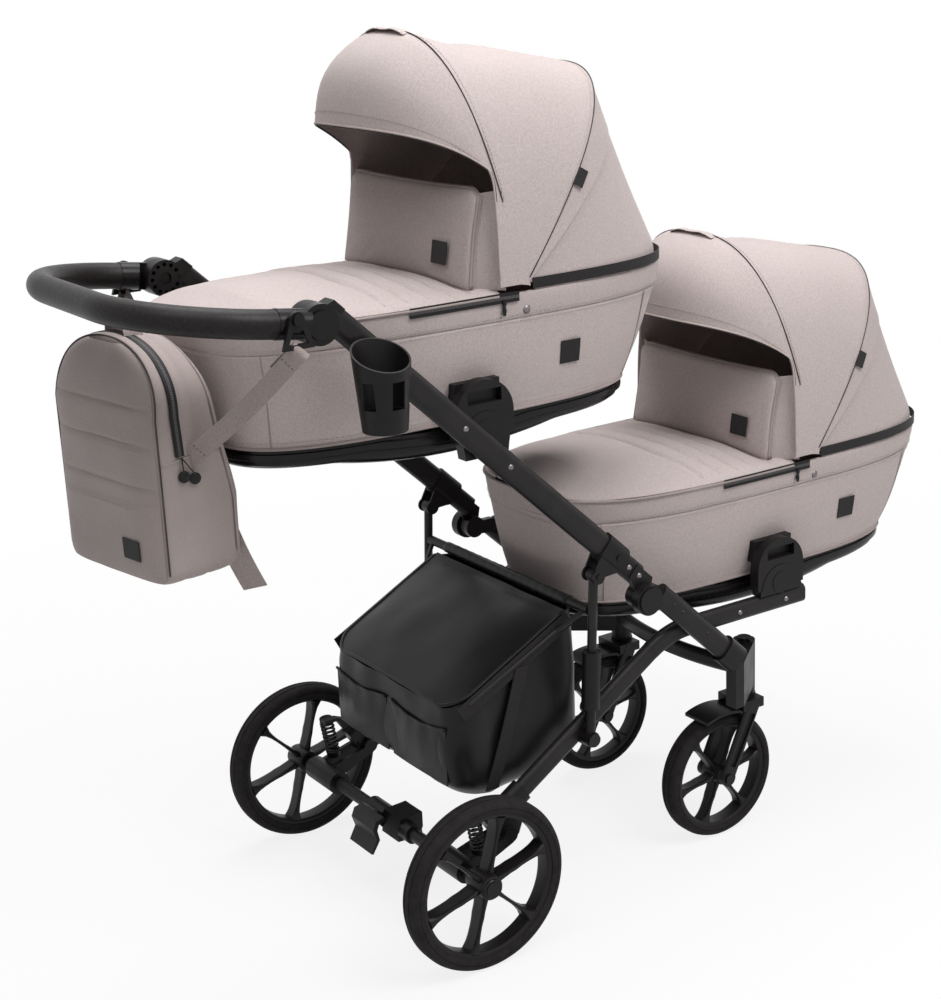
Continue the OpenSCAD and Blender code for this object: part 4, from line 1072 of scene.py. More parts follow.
@dataclass
class Carrycot:
    """A carrycot: rocker tray, cloth body, quilted apron, padded flap, zips, snaps and its hood."""

    foot: float = -306
    head: float = 516
    rim: float = 1025
    band: float = 986
    tray: float = 838
    half_w: float = 207
    band_w: float = 201
    base_w: float = 178
    apron_end: float = 128
    apron_crown: float = 24
    quilt_from: float = -62
    quilt_step: float = 36
    flap_x: float = 88
    flap_w: float = 182
    flap_top: float = 1180
    step: Spot = (587, 0, -372)
    outer: tuple[tuple[float, float], ...] = (
        (838, -4), (838.5, 0.5), (842, 1.5), (845, 0), (856, 0.5), (872, 1), (890, 1.2), (908, 1.3),
        (926, 1.3), (944, 1.1), (960, 0.8), (974, 0.6), (981, 1.0), (983.4, 0.4), (984.6, -1.4),
        (985.8, 0.6), (988, 1.4), (994, 1.2), (1006, 1.0), (1016, 0.8), (1021, 0.6), (1024, -0.4))
    inner: tuple[tuple[float, float], ...] = (
        (1025, -4), (1024, -7), (1010, -8.5), (960, -9), (900, -9), (884, -12), (878, -30), (882, -70),
        (883, -150))
    tray_deep: float = 50
    rocker: float = 0.00043
    tray_rings: tuple[tuple[float, ...], ...] = (
        (230, 290, 60, 0.7, -2, 40), (90, 150, 128, 0.68, 0, 35), (56, 98, 160, 0.66, 2, 32),
        (44, 84, 172, 0.64, 7, 28), (39, 78, 177, 0.63, 14, 23), (38, 77, 178, 0.63, 22, 17.4),
        (38, 77, 178, 0.63, 24, 16.4), (35, 73, 180, 0.62, 25, 15.4), (33, 71, 182, 0.62, 26.5, 14),
        (32, 70, 182.5, 0.62, 32, 9), (33, 71, 182, 0.62, 37, 5.4), (36, 74, 179, 0.62, 39, 4.4),
        (36, 74, 179, 0.62, 44, 0.4), (60, 100, 150, 0.62, 50, 0.4))

    def ring(self, foot: float, head: float, half: float, power: float, count: int,
             high: Callable[[float], float]) -> list[Vector]:
        """Lays out one level of the cot.

        Args:
            foot: the level's end at the feet.
            head: its end at the head.
            half: its half width.
            power: how square its corners are.
            count: how many points go round it.
            high: its height at an x.

        Returns:
            The points, evenly spaced.
        """
        middle = (foot + head) / 2
        long = (head - foot) / 2
        dense = []
        for k in range(720):
            turn = 2 * math.pi * k / 720
            x = middle + long * spow(math.cos(turn), power)
            dense.append(here(x, half * spow(math.sin(turn), power), high(x)))
        return even(dense, count, True)

    def level(self, z: float, out: float = 0.0) -> list[Vector]:
        """Lays out the cloth body's outline at a height, moved outwards a little.

        Args:
            z: the height.
            out: how far outwards.

        Returns:
            The outline's points.
        """
        if z <= self.band:
            share = clamp((z - self.tray) / (self.band - self.tray))
            ends = (self.foot + blend(36, 5, share), self.head - blend(74, 8, share))
            half = blend(self.base_w, self.band_w, share)
            out += 3.5 * math.sin(math.pi * share)
        else:
            share = (z - self.band) / (self.rim - self.band)
            ends = (self.foot + blend(5, 0, share), self.head - blend(8, 0, share))
            half = blend(self.band_w, self.half_w, share)
            out += 1.2 * math.sin(math.pi * clamp(share))
        return self.ring(ends[0] - 0.3 * out, ends[1] + out, half + out, 0.6, 240, lambda x: z)

    def flank(self, x: float, z: float, side: int, out: float) -> Vector:
        """Finds the body's side at x and a height.

        Args:
            x: how far forwards.
            z: the height.
            side: -1 for the near side and 1 for the far one.
            out: how far outside the cloth.

        Returns:
            The point in the row's frame.
        """
        spots = sorted((p for p in self.level(z, out) if (p.y - AXLE.y) * side > 0), key=lambda p: p.x)
        want = here(x, 0, 0).x
        for a, b in zip(spots, spots[1:]):
            if a.x <= want <= b.x:
                return a.lerp(b, (want - a.x) / max(b.x - a.x, 1e-9))
        return min(spots, key=lambda p: abs(p.x - want))

    def body(self) -> list[Piece]:
        """Builds the sewn body with its seams, inner lining and mattress.

        Returns:
            The shell, its stitches, its seams and a bare patch.
        """
        rows = [self.level(z, out) for z, out in self.outer + self.inner]
        outer = len(self.outer)
        shell = sheet_of("rear_cot_shell", rows, wrap=True, caps=True, parts=lambda r: 0 if r < outer else 1)
        crease(shell, 0.0016, 0.09, 1.7)
        shade(shell, 60)
        pieces = [Piece(shell, "rear_cot", "greige_cloth", (GREIGE, LINING), ("rear_cot_body",))]
        sewn = []
        for z, out in ((980.5, 1.6), (990.5, 2.0), (850, 1.0)):
            path = self.level(z, out)
            path.append(path[0])
            middle = here(105, 0, z)
            sewn.append(stitches_of("band_stitches", path, [p - middle for p in path], 4.6, 2.8))
        pieces.append(Piece(join("rear_cot_stitches", sewn), "rear_cot", "greige_cloth", (THREAD,)))
        seams = []
        for spot in (self.foot + 62, self.head - 86):
            for side in (-1, 1):
                slant = -0.12 if spot < 0 else 0.12
                path = [self.flank(spot + slant * (z - self.band), z, side, 1.3)
                        for z in spaced(30, self.tray + 3, self.band - 2)]
                seams.append(tube_of("corner_seam", even(path, 24), 0.0011, 6))
        seams.append(tube_of("base_piping", self.level(841, 2.2), 0.0022, 8, True))
        pieces.append(Piece(join("rear_cot_seams", seams), "rear_cot", "greige_cloth", (TAUPE,)))
        label = [self.flank(262, z, -1, 2.8) for z in (900, 909, 918, 927, 936)]
        pieces.append(Piece(strap_of("rear_cot_patch", label, FORWARDS, 0.036, 0.0014), "rear_cot",
                            "black_cloth", (BLACK_TAPE,)))
        return pieces

    def tray_piece(self) -> Piece:
        """Builds the moulded tray: a lip under the cloth, a step and a rocker underneath.

        Returns:
            The tray.
        """
        rows = []
        low = self.tray - self.tray_deep
        for foot, head, half, power, up, drop in self.tray_rings:
            def high(x: float, up: float = up, drop: float = drop) -> float:
                """Bends the level into a rocker under the tray's lip."""
                return min(self.tray - drop, low + up + self.rocker * (x - 60) ** 2)

            rows.append(self.ring(self.foot + foot, self.head - head, half, power, 200, high))
        tray = sheet_of("rear_cot_rocker", rows, wrap=True, caps=True)
        shade(tray, 40)
        return Piece(tray, "rear_cot", "black_plastic", (SATIN,), ("rear_cot_tray",))

    def edge(self, x: float) -> float:
        """Gives the apron's half width at x."""
        return 205.5 * (1 - min(1.0, abs(x - 105) / 409.5) ** 3.33) ** 0.3

    def rise(self, x: float, s: float) -> float:
        """Gives the apron's height above the rim at x and at s across it from -1 to 1.

        Args:
            x: how far forwards.
            s: how far across.

        Returns:
            The height in millimetres.
        """
        crown = self.apron_crown * min(1.0, (x + 306) / 90) * (1 - 0.55 * clamp(x / 88))
        high = crown * (1 - s * s)
        groove = 0.0
        for k in range(6):
            line = self.quilt_from + self.quilt_step * k + 5 * s * s
            groove += 5.4 * math.exp(-((x - line) / 3.6) ** 2)
        pillow = 2.0 if self.quilt_from < x < self.quilt_from + 180 else 0.0
        return max(0.0, high + (pillow - groove) * (1 - s ** 4))

    def apron(self) -> list[Piece]:
        """Builds the quilted apron with its piped edge, its zips, their pullers and the snaps.

        Returns:
            The apron and what is sewn to it.
        """
        rows = [[here(x, self.edge(x) * s, self.rim + 6 + self.rise(x, s) - 5 * abs(s) ** 24)
                 for s in crowded(49, 0.8)] for x in spaced(121, self.foot + 4, self.apron_end)]
        cover = sheet_of("rear_cot_cover", rows, centre=here(0, 0, 500))
        crease(cover, 0.0016, 0.06, 5.3)
        thicken(cover, 0.0045, -1, 1)
        pieces = [Piece(cover, "rear_cot", "greige_cloth", (GREIGE, LINING), ("rear_cot_apron",),
                        cut_of(rows), "stretched", ("rear_cot_shell",))]
        cord = [p for p in self.level(self.rim - 1.5, 2.0) if p.x < here(132, 0, 0).x]
        start = max(range(len(cord)), key=lambda i: (cord[i] - cord[i - 1]).length)
        piping = tube_of("rear_cot_cover_piping", cord[start:] + cord[:start], 0.0021)
        pieces.append(Piece(piping, "rear_cot", "greige_cloth", (TAUPE,)))
        sewn = []
        for k in range(6):
            line = [(self.quilt_from + self.quilt_step * k + 5 * s * s, s) for s in spaced(41, -0.93, 0.93)]
            spots = [here(x, self.edge(x) * s, self.rim + 6.1 + self.rise(x, s)) for x, s in line]
            sewn.append(stitches_of("quilt_stitches", spots, [UPWARDS] * len(spots), 4.4, 2.4, 0.8))
        pieces.append(Piece(join("rear_cot_quilting", sewn), "rear_cot", "greige_cloth", (THREAD,)))
        zips = []
        pulls = []
        for side in (-1, 1):
            flank = [p for p in self.level(1020, 2.4)
                     if (p.y - AXLE.y) * side > 0 and here(-36, 0, 0).x < p.x < here(166, 0, 0).x]
            flank.sort(key=lambda p: p.x)
            zips.append(strap_of("side_zip", even(flank, 40), UPWARDS, 0.015, 0.0016))
            pulls.append(self.puller(132, side * (self.half_w + 3.4), 1013))
        pieces.append(Piece(join("rear_cot_zips", zips), "rear_cot", "black_cloth", (ZIP,)))
        pieces.append(Piece(join("rear_cot_zip_pulls", pulls), "rear_cot", "black_plastic", (SATIN,)))
        snaps = []
        for x, z in ((134, 1000), (176, 997)):
            snap = turned("snap", ((1, 3.2), (3.4, 3.0), (5.2, 2.0), (6.4, 0.6), (6.6, -0.6)),
                          (x, 204.2, z), 24, False)
            snaps += [snap, flipped(snap, "snap")]
        pieces.append(Piece(join("rear_cot_snaps", snaps), "rear_cot", "steel_rivet", (STEEL,)))
        return pieces

    def puller(self, x: float, y: float, z: float) -> bpy.types.Object:
        """Models a zip slider with its pull, from a cube drawn out and bevelled.

        Args:
            x: how far forwards it hangs.
            y: how far across.
            z: its height.

        Returns:
            The new object.
        """
        bpy.ops.object.select_all(action="DESELECT")
        bpy.ops.mesh.primitive_cube_add(size=1, scale=(0.006, 0.0032, 0.009))
        made = bpy.context.object
        bpy.ops.object.transform_apply(location=True, rotation=True, scale=True)
        bpy.ops.object.mode_set(mode="EDIT")
        net = bmesh.from_edit_mesh(made.data)
        for face in net.faces:
            face.select = face.normal.z < -0.9
        bmesh.update_edit_mesh(made.data)
        bpy.ops.mesh.inset(thickness=0.0009)
        bpy.ops.mesh.extrude_region_move(TRANSFORM_OT_translate={"value": (0, 0, -0.008)})
        bpy.ops.transform.resize(value=(1.5, 0.9, 1), center_override=(0, 0, -0.0125))
        bpy.ops.mesh.extrude_region_move(TRANSFORM_OT_translate={"value": (0, 0, -0.007)})
        bpy.ops.transform.resize(value=(0.8, 0.8, 1), center_override=(0, 0, -0.0195))
        bpy.ops.mesh.select_all(action="SELECT")
        bpy.ops.mesh.bevel(offset=0.0006, segments=2)
        bpy.ops.mesh.normals_make_consistent(inside=False)
        bpy.ops.object.mode_set(mode="OBJECT")
        made.data.transform(Matrix.Translation(here(x, y, z)))
        shade(made, 40)
        return made

    def flap_point(self, u: float, s: float, out: float) -> Vector:
        """Gives a point of the flap.

        Args:
            u: from 0 at its foot to 1 at its top.
            s: across it from -1 to 1.
            out: from -1 on its front face to 1 on its back.

        Returns:
            The point in the row's frame.
        """
        low = self.rim + 8 + self.rise(self.flap_x, s)
        top = self.flap_top - 3 * math.cos(math.pi / 2 * s)
        puffed = 9 * math.sqrt(max(0.0, (1 - abs(s) ** 8) * (1 - abs(2 * u - 1) ** 8)))
        x = self.flap_x + 24 * u + 5 * s * s + out * (3 + puffed)
        corner = 14 * (max(0.0, abs(s) - 0.86) / 0.14) ** 2 * (1 if u > 0.5 else 0.4) * abs(2 * u - 1) ** 6
        return here(x, s * self.flap_w * (1 - 0.02 * math.sin(math.pi * u)), blend(low, top, u) - corner)

    def flap(self) -> list[Piece]:
        """Builds the padded upright flap, its piping, its side wings and a bare patch.

        Returns:
            The flap and what is sewn to it.
        """
        rows = []
        marks = crowded(41, 0.75)
        for mark in crowded(31, 0.75):
            u = 0.5 + 0.5 * mark
            back = [self.flap_point(u, s, 1) for s in reversed(marks)]
            rows.append([self.flap_point(u, s, -1) for s in marks] + back)
        pad = sheet_of("rear_cot_flap_pad", rows, wrap=True, caps=True)
        weld(pad)

        def held(spot: Vector) -> bool:
            """Says whether a point is near the flap's sewn edge."""
            side = abs(spot.y - AXLE.y) * 1000 > self.flap_w - 9
            return side or spot.z * 1000 > self.flap_top - 10 or spot.z * 1000 < self.rim + 20

        puff(pad, 0.005, 0.006, held)
        pieces = [Piece(pad, "rear_cot", "greige_cloth", (GREIGE,), ("rear_cot_flap",), fill=0.45)]
        loops = []
        for face in (-0.7, 0.7):
            ring = [self.flap_point(u, -1, face) for u in spaced(21, 0.04, 0.94)]
            ring += [self.flap_point(1, s, face) for s in spaced(41, -0.93, 0.93)]
            ring += [self.flap_point(u, 1, face) for u in spaced(21, 0.94, 0.04)]
            loops.append(tube_of("flap_piping", even(ring, 110), 0.0022))
        pieces.append(Piece(join("rear_flap_piping", loops), "rear_cot", "greige_cloth", (TAUPE,)))
        wings = []
        cut = (0.0, 0.0, 0.0)
        for side in (-1, 1):
            rows = []
            for u in spaced(15):
                row = []
                for t in spaced(11):
                    wide = blend(self.flap_w - 7, 207.5, t ** 1.3) - 3 * math.sin(math.pi * t)
                    high = blend(self.rim + 6, self.flap_top - 9 + 6 * t, u)
                    row.append(here(blend(self.flap_x + 24 * u + 3, 137, t), side * wide, high))
                rows.append(row)
            wing = sheet_of("flap_wing", rows, centre=here(self.flap_x + 60, 0, 1100))
            crease(wing, 0.0012, 0.05, 2.2 + side)
            thicken(wing, 0.0022)
            wings.append(wing)
            cut = cut_of(rows)
        pieces.append(Piece(join("rear_flap_wings", wings), "rear_cot", "greige_cloth", (GREIGE,), (),
                            (cut[0] * 2, cut[1], cut[2] * 2), "stretched",
                            bends=("rear_hood", here(112, 0, 1100), here(136, 0, 1100))))
        patch = [self.flap_point(u, -0.66, -1.05) - FORWARDS * 0.0045 for u in spaced(5, 0.2, 0.44)]
        pieces.append(Piece(strap_of("rear_flap_patch", patch, SIDEWAYS, 0.04, 0.0012), "rear_cot",
                            "black_cloth", (BLACK_TAPE,)))
        return pieces

    def build(self) -> list[Piece]:
        """Builds the rear cot and copies it for the front one.

        Returns:
            The pieces of both cots.
        """
        rear = [self.tray_piece()] + self.body() + self.apron() + self.flap() + Hood().build()
        shift = Vector(self.step) / 1000
        return rear + [piece.copied("rear", "front", shift) for piece in rear]


@dataclass
class Backpack:
    """The bag that hangs on the handle: a lofted shell with panels, zips, straps and a grab loop."""

    mid_x: float = -366
    low: float = 670
    top: float = 1016
    arch: float = 916
    half: float = 126
    front: float = -60
    turn: float = 10
    hook: Spot = (-250.4, 279, 1056)
    quilts: tuple[float, ...] = (928, 874, 814)
    pocket: float = 786
    corner: float = 22
    bend: float = 2.2
    core: float = 830
    face_shares: tuple[float, ...] = (
        0.06, 0.14, 0.22, 0.3, 0.38, 0.46, 0.54, 0.62, 0.7, 0.76, 0.81, 0.85, 0.88, 0.9, 0.915, 0.93)
    wall_rings: tuple[tuple[float, float], ...] = (
        (0.0, 7), (0.012, 3.6), (0.035, 1.2), (0.07, 0.2), (0.14, 0), (0.24, 0.6), (0.3, 1.4), (0.36, 0.6),
        (0.5, 0), (0.56, 1.2), (0.6, 0.2), (0.72, 0), (0.84, 0.8), (0.92, 3), (0.97, 7), (1.0, 13))
    back_shares: tuple[float, ...] = (0.85, 0.7, 0.5, 0.3, 0.1)
    bead: tuple[tuple[float, float], ...] = (
        (1, -2.6), (6, -2.4), (8.4, -1), (8.8, 0.6), (7, 2.2), (4.6, 2.4), (3.6, 1.4), (1, 1.4))

    def out(self, z: float) -> float:
        """Gives the bag's half width at a height."""
        share = clamp((z - self.arch) / (self.top - self.arch))
        return self.half * (1 - share ** self.bend) ** (1 / self.bend)

    def place(self, x: float, y: float, z: float) -> Vector:
        """Turns a place on the bag into the row's frame."""
        a = math.radians(self.turn)
        return here(self.mid_x + x * math.cos(a) - y * math.sin(a), x * math.sin(a) + y * math.cos(a), z)

    def depth(self, z: float, u: float) -> float:
        """Gives x at a height, from the front face at u 0 to the back at 1."""
        near = self.front + 16 * clamp((z - self.arch) / (self.top - self.arch))
        far = 76 - 38 * clamp((z - 780) / 180) - 15 * clamp((z - 960) / 55)
        return blend(near, far, u)

    def outline(self, count: int) -> list[tuple[float, float]]:
        """Lays out the bag's arched outline from the middle of its bottom all the way round.

        Args:
            count: how many points.

        Returns:
            The points as y and z.
        """
        r = self.corner
        side = [((self.half - r) * i / 10, self.low) for i in range(10)]
        for a in spaced(13, 0, math.pi / 2):
            side.append((self.half - r + r * math.sin(a), self.low + r - r * math.cos(a)))
        side += [(self.half, z) for z in spaced(21, self.low + r, self.arch)[1:]]
        side += [self.arc(a, 0) for a in spaced(61, 0, math.pi / 2)[1:]]
        loop = side + [(-y, z) for y, z in side[-2:0:-1]]
        spots = even([Vector((0, y, z)) for y, z in loop], count, True)
        return [(p.y, p.z) for p in spots]

    def arc(self, a: float, grow: float) -> tuple[float, float]:
        """Gives y and z on the bag's arched top, a turn from its side up, moved outwards by grow."""
        return ((self.half + grow) * math.cos(a) ** (2 / self.bend),
                self.arch + (self.top - self.arch + grow) * math.sin(a) ** (2 / self.bend))

    def arch_path(self, u: float, low: float, out: float) -> list[Vector]:
        """Follows the bag's sides and top at one depth.

        Args:
            u: the depth, from 0 in front to 1 behind.
            low: the height of both ends.
            out: how far outside the cloth.

        Returns:
            The path from one side over the top to the other.
        """
        path = []
        heights = [blend(low, self.arch, i / 14) for i in range(14)]
        for side in (-1, 1):
            part = [(side * (self.half + out), z) for z in heights]
            part += [(side * y, z) for y, z in (self.arc(a, out) for a in spaced(41, 0, math.pi / 2))]
            path += part if side < 0 else part[::-1][1:]
        return [self.place(self.depth(z, u), y, z) for y, z in path]

    def shell(self) -> Piece:
        """Lofts the bag from its front to its back, with drawn-in side seams and a sagging bottom.

        Returns:
            The bag's shell.
        """
        outline = self.outline(150)
        core = self.core

        def face(u: float, scale: float, bulge: float) -> list[Vector]:
            """Lays out one ring of a face at a share of the outline."""
            ring = []
            for y, z in outline:
                yy = y * scale
                zz = core + (z - core) * scale
                ring.append(self.place(self.depth(zz, u) - bulge * (1 - scale ** 3), yy, zz))
            return ring

        rows = [face(0.0, scale, 4) for scale in self.face_shares]
        for u, inset in self.wall_rings:
            ring = []
            for y, z in outline:
                k = 1 - inset / self.half
                zz = core + (z - core) * (1 - inset / 180)
                sag = 3 * math.sin(math.pi * u) * clamp((720 - zz) / 50)
                ring.append(self.place(self.depth(zz, u), y * k, zz - sag + 3))
            rows.append(ring)
        rows += [face(1.0, scale, 3) for scale in self.back_shares]
        bag = sheet_of("bag_shell", rows, wrap=True, caps=True)
        crease(bag, 0.0018, 0.06, 8.4)
        shade(bag, 55)
        return Piece(bag, "bag", "bag_cloth", (TAUPE,), ("backpack",))

    def panel_x(self, s: float, z: float) -> float:
        """Gives the front panel's x at s across it from -1 to 1: quilted pillows over a flat pocket.

        Args:
            s: how far across.
            z: the height.

        Returns:
            x in millimetres.
        """
        t = clamp((z - self.low) / (self.top - self.low))
        x = self.depth(z, 0) - 0.4 - 10 * (1 - abs(s) ** 5) * math.sqrt(1 - abs(2 * t - 1) ** 8)
        for line in self.quilts:
            x += 3.4 * math.exp(-((z - line) / 3.6) ** 2) * (1 - s ** 8)
        return x - 4 * clamp((self.pocket - z) / 1.6) * (1 - s ** 8)

    def panel(self) -> list[Piece]:
        """Sews the front panel, its quilt stitches and a bare patch.

        Returns:
            The panel, its stitches and the patch.
        """
        rows = []
        r = self.corner
        for z in spaced(109, self.low + 7, self.top - 5):
            foot = max(0.0, self.low + r - z)
            wide = self.out(z) - r + math.sqrt(r ** 2 - foot ** 2) - 4
            rows.append([self.place(self.panel_x(s, z), wide * s, z) for s in spaced(41, -1, 1)])
        front = sheet_of("bag_front_panel", rows, centre=self.place(60, 0, self.core))
        crease(front, 0.0014, 0.05, 2.6)
        thicken(front, 0.0022)
        sewn = []
        way = self.place(-1, 0, 0) - self.place(0, 0, 0)
        for line in self.quilts + (self.pocket - 5,):
            reach = self.out(line) - 12
            path = [self.place(self.panel_x(s, line) - 0.7, reach * s, line)
                    for s in spaced(31, -0.96, 0.96)]
            sewn.append(stitches_of("panel_stitches", path, [way] * 31, 4.6, 2.6))
        spots = [self.place(self.panel_x(-0.5, z) - 1.6, -62, z) for z in (706, 713, 721, 729, 736)]
        across = self.place(0, 1, 0) - self.place(0, 0, 0)
        patch = strap_of("bag_patch", spots, across, 0.04, 0.0014)
        return [Piece(front, "bag", "bag_cloth", (TAUPE,)),
                Piece(join("bag_stitches", sewn), "bag", "bag_cloth", (THREAD,)),
                Piece(patch, "bag", "black_cloth", (BLACK_TAPE,))]

    def trims(self) -> list[Piece]:
        """Sews on the seams and the zip with its pulls.

        Returns:
            The seams, the zip and the pulls.
        """
        piping = tube_of("bag_piping", self.arch_path(0.02, 690, 0.6), 0.0013)
        pieces = [Piece(piping, "bag", "bag_cloth", (PIPING,))]
        soft = [tube_of("back_seam", self.arch_path(0.9, 700, 0.4), 0.0016)]
        for side in (-1, 1):
            path = [self.place(self.depth(z, t), side * (self.half + 0.6), z)
                    for t, z in zip(spaced(21, 0.03, 0.9), spaced(21, 850, 858))]
            soft.append(tube_of("side_seam", path, 0.0014))
        pieces.append(Piece(join("bag_soft_seams", soft), "bag", "bag_cloth", (TAUPE,)))
        across = self.place(1, 0, 0) - self.place(0, 0, 0)
        tape = strap_of("bag_zip", even(self.arch_path(0.3, 858, 2.4), 120), across, 0.014, 0.0018)
        pieces.append(Piece(tape, "bag", "black_cloth", (ZIP,)))
        pulls = []
        for y, z, u in ((-1, 828, 0.31), (-1, 822, 0.45), (1, 828, 0.32)):
            spot = self.place(self.depth(z, u), y * (self.half + 4), z)
            cord = [self.place(self.depth(856, 0.31), y * (self.half + 4), 856), spot + UPWARDS * 0.007]
            pulls.append(tube_of("zip_cord", even(cord, 6), 0.0009, 6))
            bead = turned("zip_bead", self.bead, (0, 0, 0), 28, False)
            bead.data.transform(Matrix.Translation(spot - here(0, 0, 0)))
            pulls.append(bead)
        pieces.append(Piece(join("bag_zip_pulls", pulls), "bag", "black_plastic", (SATIN,)))
        return pieces

    def straps(self) -> list[Piece]:
        """Builds both carrying straps with their stitches, the grab loop and the tail.

        Returns:
            The straps, their stitches and the tail.
        """
        straps = []
        sewn = []
        for side in (-1, 1):
            hook = here(self.hook[0], side * (self.hook[1] + 3), self.hook[2] - 44)
            z = 853.4 if side < 0 else 863.4
            end = self.place(-4, side * (self.half + 2.6), z)
            run = (end - hook).normalized()
            face = Vector((-0.35, side * 0.9, 0.2))
            face = (face - run * face.dot(run)).normalized()
            across = run.cross(face)
            path = [hook + face * -0.006 + run * d for d in (0.05, 0.02, 0.004)]
            for i in range(1, 8):
                a = math.pi * i / 8
                path.append(hook - run * (0.006 * math.sin(a)) - face * (0.006 * math.cos(a)))
            for t in spaced(25):
                sag = math.sin(math.pi * t) * 0.006
                path.append(hook.lerp(end, t) + face * (0.006 * (1 - t)) - UPWARDS * sag)
            path += [end + run * 0.012, end + run * 0.03]
            straps.append(strap_of("side_strap", path, across, 0.027, 0.0026))
            for share in (0.09, 0.93):
                spot = hook.lerp(end, share) + face * (0.006 * (1 - share) + 0.0016)
                ends = [spot - across * 0.011, spot + across * 0.011]
                sewn.append(stitches_of("strap_stitches", ends, [face, face], 3.6, 1.6, 1.0))
        loop = []
        for a in spaced(29, 0, math.pi):
            loop.append(here(-378, 0, 1012) + (SIDEWAYS * math.cos(a) + UPWARDS * math.sin(a)) * 0.0335)
        straps.append(strap_of("grab_loop", loop, FORWARDS, 0.028, 0.003))
        webbing = join("bag_strap_webbing", straps)
        pieces = [Piece(webbing, "bag", "bag_cloth", (STRAP,), ("backpack_straps",)),
                  Piece(join("bag_strap_stitches", sewn), "bag", "bag_cloth", (DARK_THREAD,))]
        tail = [here(-300 + 14 * t + 40 * t * t, -78 - 6 * t, 800 - 150 * t - 26 * t * t)
                for t in spaced(21)]
        flat = Vector((0.78, -0.6, 0.2))
        rows = [[p + flat.normalized() * (s * 0.018) for s in (-1, -0.5, 0, 0.5, 1)] for p in tail]
        hung = strap_of("bag_tail_strap", tail, flat, 0.036, 0.0028)
        pieces.append(Piece(hung, "bag", "bag_cloth", (STRAP,), (), cut_of(rows), "hung"))
        return pieces

    def build(self) -> list[Piece]:
        """Builds the whole bag and returns its pieces."""
        return [self.shell()] + self.panel() + self.trims() + self.straps()


